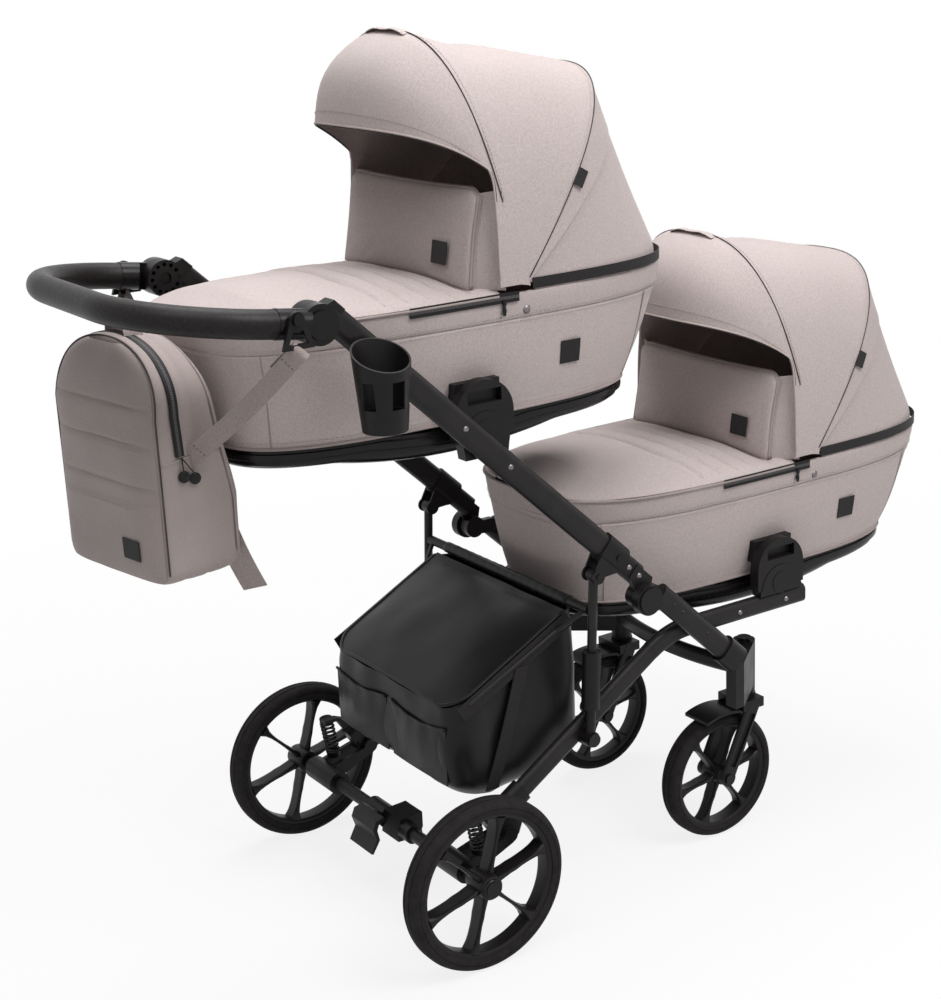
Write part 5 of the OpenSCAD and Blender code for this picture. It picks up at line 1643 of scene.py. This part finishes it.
@dataclass
class Basket:
    """The shopping basket: a sagging nylon tub on the cross rail and its zipped lid."""

    half: float = 186
    rear: float = 20
    front: float = 269
    top: tuple[tuple[float, float], ...] = ((19, 383), (242.7, 499.1), (269, 500))
    floor: tuple[tuple[float, float], ...] = ((24, 240), (98, 218), (271, 245))
    rail: tuple[float, float] = (256.7, 508.1)
    corner: float = 36
    sleeve: float = 9.8
    around: int = 150

    def plan(self, inset: float, count: int) -> list[tuple[float, float]]:
        """Lays out the tub's outline from above, moved inwards.

        Args:
            inset: how far inwards.
            count: how many points.

        Returns:
            The points as x and y.
        """
        x1, x2, w = self.rear + inset, self.front - inset, self.half - inset
        corner = max(8.0, self.corner - inset * 0.3)
        loop = []
        for cx, cy, start in ((x2 - corner, w - corner, 0), (x1 + corner, w - corner, 90),
                              (x1 + corner, -w + corner, 180), (x2 - corner, -w + corner, 270)):
            for i in range(10):
                a = math.radians(start + 10 * i)
                loop.append(Vector((cx + corner * math.cos(a), cy + corner * math.sin(a), 0)))
        return [(p.x, p.y) for p in even(loop, count, True)]

    def tub(self) -> Piece:
        """Lofts the tub from its rim down its bulging walls to a floor that sags.

        Returns:
            The tub.
        """
        rows = []
        for v in spaced(17):
            ring = []
            inset = -5 * math.sin(math.pi * v) + 14 * clamp((v - 0.86) / 0.14) ** 2
            for x, y in self.plan(inset, self.around):
                high = along(self.top, x) - 3
                low = along(self.floor, x)
                slack = 3 * math.sin(v * 7 + y * 0.03) * math.sin(math.pi * v)
                ring.append(here(x + slack * 0.4, y + math.copysign(slack * 0.3, y), blend(high, low, v)))
            rows.append(ring)
        for inset, sag in ((26, 3), (48, 7), (80, 10), (112, 11)):
            rows.append([here(x, y, along(self.floor, x) - sag) for x, y in self.plan(inset, self.around)])
        tub = sheet_of("basket_tub", rows, wrap=True, centre=here(145, 0, 350))
        net = bmesh.new()
        net.from_mesh(tub.data)
        net.verts.ensure_lookup_table()
        net.faces.new(net.verts[-self.around:])
        bmesh.ops.recalc_face_normals(net, faces=net.faces)
        net.to_mesh(tub.data)
        net.free()
        crease(tub, 0.005, 0.055, 6.6)
        thicken(tub, 0.0026)
        return Piece(tub, "strut_frame", "black_cloth", (NYLON,), ("basket",))

    def trims(self) -> list[Piece]:
        """Sews on the rear pockets, the edge bands, the side webbing and the rail's sleeve.

        Returns:
            The pockets, the webbing and the sleeve.
        """
        pockets = []
        for side in (-1, 1):
            rows = []
            for v in spaced(15):
                row = []
                for t in spaced(41):
                    bulge = 9 * math.sin(math.pi * t) * math.sin(math.pi * (0.15 + 0.8 * v))
                    ripple = 0.7 * math.sin(t * 24) * (1 - v) ** 2
                    high = blend(348 - 8 * math.sin(math.pi * t), 252, v)
                    row.append(here(self.rear - 3 - bulge - ripple, side * blend(8, 168, t), high))
                rows.append(row)
            pocket = sheet_of("rear_pocket", rows, centre=here(145, 0, 300))
            crease(pocket, 0.002, 0.07, 4 + side)
            thicken(pocket, 0.002)
            pockets.append(pocket)
            hem = [p - FORWARDS * 0.001 for p in rows[0]]
            pockets.append(tube_of("pocket_hem", hem, 0.0026))
        pieces = [Piece(join("basket_pockets", pockets), "strut_frame", "black_cloth", (NYLON,))]
        bands = []
        for side in (-1, 1):
            path = [here(x, side * (self.half + 6.5), along(self.top, x) - 14) for x in spaced(31, 34, 246)]
            bands.append(strap_of("edge_band", path, Vector((-0.46, 0, 0.89)), 0.026, 0.0022))
            down = [here(150 - 66 * t, side * (self.half + 8 + 3 * math.sin(math.pi * t)),
                         blend(along(self.top, 150) - 22, 236, t)) for t in spaced(17)]
            bands.append(strap_of("side_web", down, FORWARDS, 0.024, 0.0022))
        pieces.append(Piece(join("basket_webbing", bands), "strut_frame", "black_cloth", (BLACK_TAPE,)))
        rows = []
        for i, y in enumerate(spaced(61, -178, 178)):
            ring = []
            for k in range(16):
                a = 2 * math.pi * k / 16
                r = self.sleeve + 0.4 * math.sin(i * 1.7 + k) * math.sin(k * 0.8)
                ring.append(here(self.rail[0] + r * math.cos(a), y, self.rail[1] + r * math.sin(a)))
            rows.append(ring)
        sleeve = sheet_of("basket_rail_sleeve", rows, wrap=True, caps=True)
        pieces.append(Piece(sleeve, "strut_frame", "black_cloth", (NYLON,)))
        return pieces

    def lid_point(self, u: float, s: float) -> Spot:
        """Gives a point of the lid, u from its rear edge to the rail and s across from -1 to 1."""
        half = self.half - 34 * max(0.0, 1 - u / 0.16) ** 2
        crown = 12 * (1 - s ** 4) * math.sin(math.pi * min(1.0, u + 0.04)) ** 0.6
        return (blend(19, 240.5, u), half * s, blend(384.5, 500, u) + crown)

    def lid(self) -> list[Piece]:
        """Builds the crowned lid with its piping.

        Returns:
            The lid and its piping.
        """
        rows = [[here(*self.lid_point(u, s)) for s in spaced(41, -1, 1)] for u in spaced(31)]
        lid = sheet_of("basket_lid_panel", rows, centre=here(145, 0, 200))
        crease(lid, 0.0022, 0.07, 9.1)
        thicken(lid, 0.0026, -1)
        pieces = [Piece(lid, "lid", "black_cloth", (NYLON,), ("basket_lid",), cut_of(rows), "stretched",
                        ("basket_tub",))]
        path = [self.lid_point(u, -1) for u in spaced(25, 0.98, 0)]
        path += [self.lid_point(0, s) for s in spaced(25, -1, 1)]
        path += [self.lid_point(u, 1) for u in spaced(25, 0, 0.98)]
        cord = tube_of("basket_lid_piping", even([here(x, y, z - 1) for x, y, z in path], 130), 0.003)
        pieces.append(Piece(cord, "lid", "black_cloth", (NYLON,)))
        return pieces

    def build(self) -> list[Piece]:
        """Builds the basket and returns its pieces."""
        return [self.tub()] + self.trims() + self.lid()


@dataclass
class Wheel:
    """A pair of wheels: bladed rims in grooved foam tyres."""

    name: str
    spot: Spot
    radius: float
    hub: float
    bore: float
    turn: float
    blade: float
    half_hub: float
    seat: float = 22

    def tyre(self) -> bpy.types.Object:
        """Turns the tyre with its two tread grooves and stepped side walls.

        Returns:
            The near tyre.
        """
        r = self.radius
        half = [(r - self.seat, 15.6), (r - self.seat + 1.2, 17.6), (r - 15.6, 19.4), (r - 13.4, 19.9),
                (r - 13, 19.1), (r - 11.8, 19.1), (r - 11.4, 19.9), (r - 9, 19.6), (r - 5, 17.4),
                (r - 2.2, 14), (r - 0.7, 10.4), (r - 0.1, 8), (r - 0.3, 7.4), (r - 2.2, 6.9),
                (r - 2.2, 5.6), (r - 0.3, 5.1), (r, 4.4)]
        profile = [(a, -b) for a, b in half] + half[::-1]
        return turned(self.name + "_tread", profile, self.spot, 96)

    def blades(self) -> bpy.types.Object:
        """Models one blade from a cube and copies it round the hub.

        Returns:
            All six blades as one object.
        """
        near, far = self.hub - 3, self.radius - self.seat - 7
        bpy.ops.object.select_all(action="DESELECT")
        bpy.ops.mesh.primitive_cube_add(size=1, location=((near + far) / 2000, 0, 0),
                                        scale=((far - near) / 1000, self.blade / 1000, 0.006))
        first = bpy.context.object
        bpy.ops.object.transform_apply(location=True, rotation=True, scale=True)
        bpy.ops.object.mode_set(mode="EDIT")
        bpy.ops.mesh.select_all(action="SELECT")
        bpy.ops.mesh.subdivide(number_cuts=7)
        shares = ((0.0, 1.8, 1.0), (0.125, 1.3, 1.0), (0.25, 1.0, 0.97), (0.5, 0.9, 0.93),
                  (0.625, 0.95, 0.93), (0.75, 1.15, 0.96), (0.875, 1.8, 1.0), (1.0, 3.6, 1.04))
        for share, thick, wide in shares:
            x = blend(near, far, share) / 1000
            net = bmesh.from_edit_mesh(first.data)
            for vert in net.verts:
                vert.select = abs(vert.co.x - x) < 0.0004
            net.select_flush(True)
            bmesh.update_edit_mesh(first.data)
            bpy.ops.transform.resize(value=(1, wide, thick), center_override=(x, 0, 0))
        net = bmesh.from_edit_mesh(first.data)
        for vert in net.verts:
            vert.select = abs(vert.co.y) > self.blade / 2000 * 0.9
        net.select_flush(True)
        bmesh.update_edit_mesh(first.data)
        bpy.ops.transform.resize(value=(1, 1, 0.62), center_override=(0, 0, 0))
        bpy.ops.object.mode_set(mode="OBJECT")
        finish_with(first, "BEVEL", width=0.0008, segments=2, limit_method="ANGLE")
        spokes = []
        for k in range(6):
            spoke = twin_of(first, "spoke")
            spoke.data.transform(Matrix.Rotation(-math.radians(self.turn + 60 * k), 4, "Y"))
            spokes.append(spoke)
        bpy.data.objects.remove(first)
        made = join(self.name + "_blades", spokes)
        made.data.transform(Matrix.Translation(here(*self.spot)))
        shade(made, 35)
        return made

    def rim(self) -> bpy.types.Object:
        """Turns the rim's ring and hub and joins the blades to them.

        Returns:
            The near rim.
        """
        r = self.radius - self.seat
        half = [(r - 8, 9), (r - 7.4, 12.4), (r - 5, 14.2), (r - 2.4, 15.4), (r, 15.4)]
        ring = turned(self.name + "_ring", [(a, -b) for a, b in half] + half[::-1], self.spot, 96)
        h = self.half_hub
        half = [(self.bore, h - 2), (self.bore + 2, h), (self.hub - 3, h), (self.hub - 1, h - 1.4),
                (self.hub, h - 4)]
        hub = turned(self.name + "_hub", [(a, -b) for a, b in half] + half[::-1], self.spot, 56)
        made = join(self.name + "_wheel_rim", [ring, hub, self.blades()])
        shade(made, 35)
        return made

    def pieces(self, near: str, far: str, near_body: str, far_body: str) -> list[Piece]:
        """Builds the near wheel and copies it to the far side.

        Args:
            near: the end of the near wheel's node names.
            far: the end of the far wheel's node names.
            near_body: the near wheel's body.
            far_body: the far wheel's body.

        Returns:
            The rims and tyres of both.
        """
        made = []
        for obj, kind, slot, finish in ((self.tyre(), "tyre", "tyre_rubber", RUBBER),
                                        (self.rim(), "rim", "black_plastic", PLASTIC)):
            other = flipped(obj, obj.name + "_" + far)
            obj.name = obj.name + "_" + near
            made.append(Piece(obj, near_body, slot, (finish,), (f"{self.name}_{kind}_{near}",)))
            made.append(Piece(other, far_body, slot, (finish,), (f"{self.name}_{kind}_{far}",)))
        return made


@dataclass
class Fittings:
    """Small hardware: the coil springs and the hub caps."""

    spring_low: tuple[float, float] = (30.5, 167)
    spring_high: tuple[float, float] = (21.6, 224)
    spring_y: float = 230
    coil: float = 10.4
    wire: float = 2.3
    curls: float = 7
    steps: int = 28
    cap: tuple[tuple[float, float], ...] = (
        (1, -316.6), (8, -316.6), (8.6, -315.8), (12.6, -315.8), (15.4, -315.2), (16.4, -314),
        (16.6, -312.4))

    def springs(self) -> Piece:
        """Winds both rear springs with closed end coils.

        Returns:
            Both springs as one piece.
        """
        low = here(self.spring_low[0], -self.spring_y, self.spring_low[1])
        high = here(self.spring_high[0], -self.spring_y, self.spring_high[1])
        axis = (high - low).normalized()
        other = axis.cross(SIDEWAYS)
        turns = self.curls + 1.5
        path = []
        for i in range(int(turns * self.steps) + 1):
            turn = i / self.steps
            share = clamp((turn - 0.6) / (turns - 1.2))
            spot = low.lerp(high, 0.03 + 0.94 * share)
            a = 2 * math.pi * turn
            path.append(spot + (SIDEWAYS * math.cos(a) + other * math.sin(a)) * (self.coil / 1000))
        near = tube_of("spring_coil", path, self.wire / 1000, 10)
        both = [near, flipped(near, "spring_coil_far")]
        return Piece(join("axle_spring_coils", both), "axle_unit", "spring_steel", (SPRING,), ("springs",))

    def hub_caps(self) -> list[Piece]:
        """Turns the stepped caps over the rear axle's ends.

        Returns:
            The near cap and the far one.
        """
        cap = turned("rear_hub_cap", self.cap, (0, 0, 140), 48, False)
        other = flipped(cap, "rear_hub_cap_left")
        return [Piece(cap, "rear_wheel_right", "black_plastic", (SATIN,)),
                Piece(other, "rear_wheel_left", "black_plastic", (SATIN,))]

    def build(self) -> list[Piece]:
        """Builds the hardware and returns its pieces."""
        return [self.springs()] + self.hub_caps()


class Studio:
    """The pale floor, soft lamps and the photograph's camera."""

    azimuth = -32.94
    elevation = 17.11
    roll = -2.576
    spot = (-1387.54, -2440.42, 1543.83)
    focal_px = 1863.28
    frame_px = 1000
    sensor = 36
    white: Colour = (1, 1, 1, 1)
    floor_tint: Colour = (0.86, 0.86, 0.86, 1)
    floor_size = 40
    shadow_reach = (0.7, 2.4)
    daylight = 0.24
    looked_at: Spot = (0, 0, 0.6)
    lamps = (("key_lamp", (0.7, -2.2, 3.8), 1.9, 96), ("side_lamp", (-1.7, -1.0, 4.2), 2.0, 40),
             ("top_lamp", (0.2, 0.8, 3.8), 2.2, 74))

    def camera(self) -> None:
        """Sets the camera at the photograph's place, angle and focal length."""
        a, e, r = (math.radians(v) for v in (self.azimuth, self.elevation, self.roll))
        back = Vector((math.sin(a) * math.cos(e), -math.cos(a) * math.cos(e), math.sin(e)))
        level = Vector((math.cos(a), math.sin(a), 0))
        over = back.cross(level)
        right = level * math.cos(r) + over * math.sin(r)
        up = back.cross(right)
        lens = bpy.data.cameras.new("camera")
        lens.sensor_fit = "VERTICAL"
        lens.sensor_height = self.sensor
        lens.lens = self.focal_px / self.frame_px * self.sensor
        lens.clip_end = 50
        camera = bpy.data.objects.new("camera", lens)
        bpy.context.collection.objects.link(camera)
        turn = Matrix((right, up, back)).transposed().to_4x4()
        camera.matrix_world = Matrix.Translation(here(*self.spot)) @ turn
        bpy.context.scene.camera = camera

    def lamp(self, name: str, spot: Spot, size: float, power: float) -> None:
        """Adds a square soft lamp that looks at the pram's middle.

        Args:
            name: the lamp's name.
            spot: where it hangs, in metres.
            size: its side in metres.
            power: its power in watts.
        """
        data = bpy.data.lights.new(name, "AREA")
        data.size = size
        data.energy = power
        lamp = bpy.data.objects.new(name, data)
        bpy.context.collection.objects.link(lamp)
        place = Vector(spot)
        turn = (Vector(self.looked_at) - place).to_track_quat("-Z", "Y")
        lamp.matrix_world = Matrix.Translation(place) @ turn.to_matrix().to_4x4()

    def build(self) -> None:
        """Lays the floor, sets the world and hangs the lamps."""
        self.camera()
        bpy.ops.object.select_all(action="DESELECT")
        bpy.ops.mesh.primitive_plane_add(size=self.floor_size)
        floor = bpy.context.object
        floor.name = "studio_floor"
        paint = bpy.data.materials.new("white_studio_floor")
        paint.use_nodes = True
        tree = paint.node_tree
        tree.nodes.clear()
        out = tree.nodes.new("ShaderNodeOutputMaterial")
        matt = add_node(tree, "BsdfDiffuse", {"Color": self.floor_tint})
        glow = add_node(tree, "Emission", {"Color": self.white, "Strength": 1.0})
        seen = seen_by_camera(tree)
        place = tree.nodes.new("ShaderNodeTexCoord").outputs["Object"]
        far = add_node(tree, "VectorMath", {0: place}, "Value", operation="LENGTH")
        near, away = self.shadow_reach
        fade = add_node(tree, "MapRange", {"Value": far, "From Min": near, "From Max": away,
                                           "To Min": 0.84, "To Max": 1.0})
        share = add_node(tree, "Math", {0: seen, 1: fade}, operation="MULTIPLY")
        both = add_node(tree, "MixShader", {0: share, 1: matt, 2: glow})
        tree.links.new(both, out.inputs["Surface"])
        floor.data.materials.append(paint)
        world = bpy.data.worlds.new("white_studio")
        world.use_nodes = True
        tree = world.node_tree
        tree.nodes.clear()
        out = tree.nodes.new("ShaderNodeOutputWorld")
        soft = add_node(tree, "Background", {"Color": self.white, "Strength": self.daylight})
        white = add_node(tree, "Background", {"Color": self.white, "Strength": 1.0})
        both = add_node(tree, "MixShader", {0: seen_by_camera(tree), 1: soft, 2: white})
        tree.links.new(both, out.inputs["Surface"])
        bpy.context.scene.world = world
        for lamp in self.lamps:
            self.lamp(*lamp)
        bpy.context.scene.view_settings.view_transform = "Standard"


def seen_by_camera(tree: bpy.types.NodeTree) -> bpy.types.NodeSocket:
    """Returns 1 for what the camera, a gloss or a clear surface sees, and 0 for light on the object.

    Args:
        tree: the nodes of the floor or the world.

    Returns:
        The socket with that value.
    """
    path = tree.nodes.new("ShaderNodeLightPath")
    views = [path.outputs[f"Is {kind} Ray"] for kind in ("Camera", "Glossy", "Transmission")]
    either = add_node(tree, "Math", {0: views[0], 1: views[1]}, operation="MAXIMUM")
    return add_node(tree, "Math", {0: either, 1: views[2]}, operation="MAXIMUM")


class Dress(Enum):
    """The finish of each CAD node that stays in view."""

    PAINT = ("push_tube_right", "push_tube_left", "front_leg_right", "front_leg_left", "rear_leg_right",
             "rear_leg_left", "strut_rods", "basket_rail", "front_cross_bar")
    PLASTIC = ("hinge_arms", "strut_brackets", "push_mounts", "handle_knuckles", "cup_holder", "fold_knobs",
               "castor_heads", "swivel_lock_right", "swivel_lock_left", "castor_fork_right",
               "castor_fork_left", "strut_sleeves", "leg_mounts", "axle_brackets", "rear_axle", "swing_arms",
               "brake_pedal",
               "strap_hooks", "rear_cot_grips", "front_cot_grips")
    SATIN = ("handle_button_right", "handle_button_left", "handle_cuffs")
    LEATHER = ("handle_grip",)
    STEEL = ("push_rivets", "leg_rivets")

    def apply(self) -> None:
        """Gives this finish to its nodes."""
        finishes = {Dress.PAINT: PAINT, Dress.PLASTIC: PLASTIC, Dress.SATIN: SATIN, Dress.LEATHER: LEATHER,
                    Dress.STEEL: STEEL}
        finish = finishes[self]
        for node in self.value:
            obj = frame["nodes"][node]
            obj.data.materials.clear()
            obj.data.materials.append(finish.material())
            LOG.info("%s is dressed in %s", node, finish.name)


def main() -> None:
    """Builds the pram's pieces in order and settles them."""
    logging.basicConfig(level=logging.INFO, format="%(message)s")
    Studio().build()
    for dress in Dress:
        dress.apply()
    pieces = Carrycot().build() + Backpack().build() + Basket().build()
    rear = Wheel("rear", (0, -288, 140), 140, 20, 8.05, 15, 30, 24)
    front = Wheel("front", (568, -172, 113), 113, 16, 6.05, 8, 25, 23, 18)
    pieces += rear.pieces("right", "left", "rear_wheel_right", "rear_wheel_left")
    pieces += front.pieces("right", "left", "front_wheel_right", "front_wheel_left")
    pieces += Fittings().build()
    for piece in pieces:
        piece.settle()


if __name__ == "__main__":
    main()
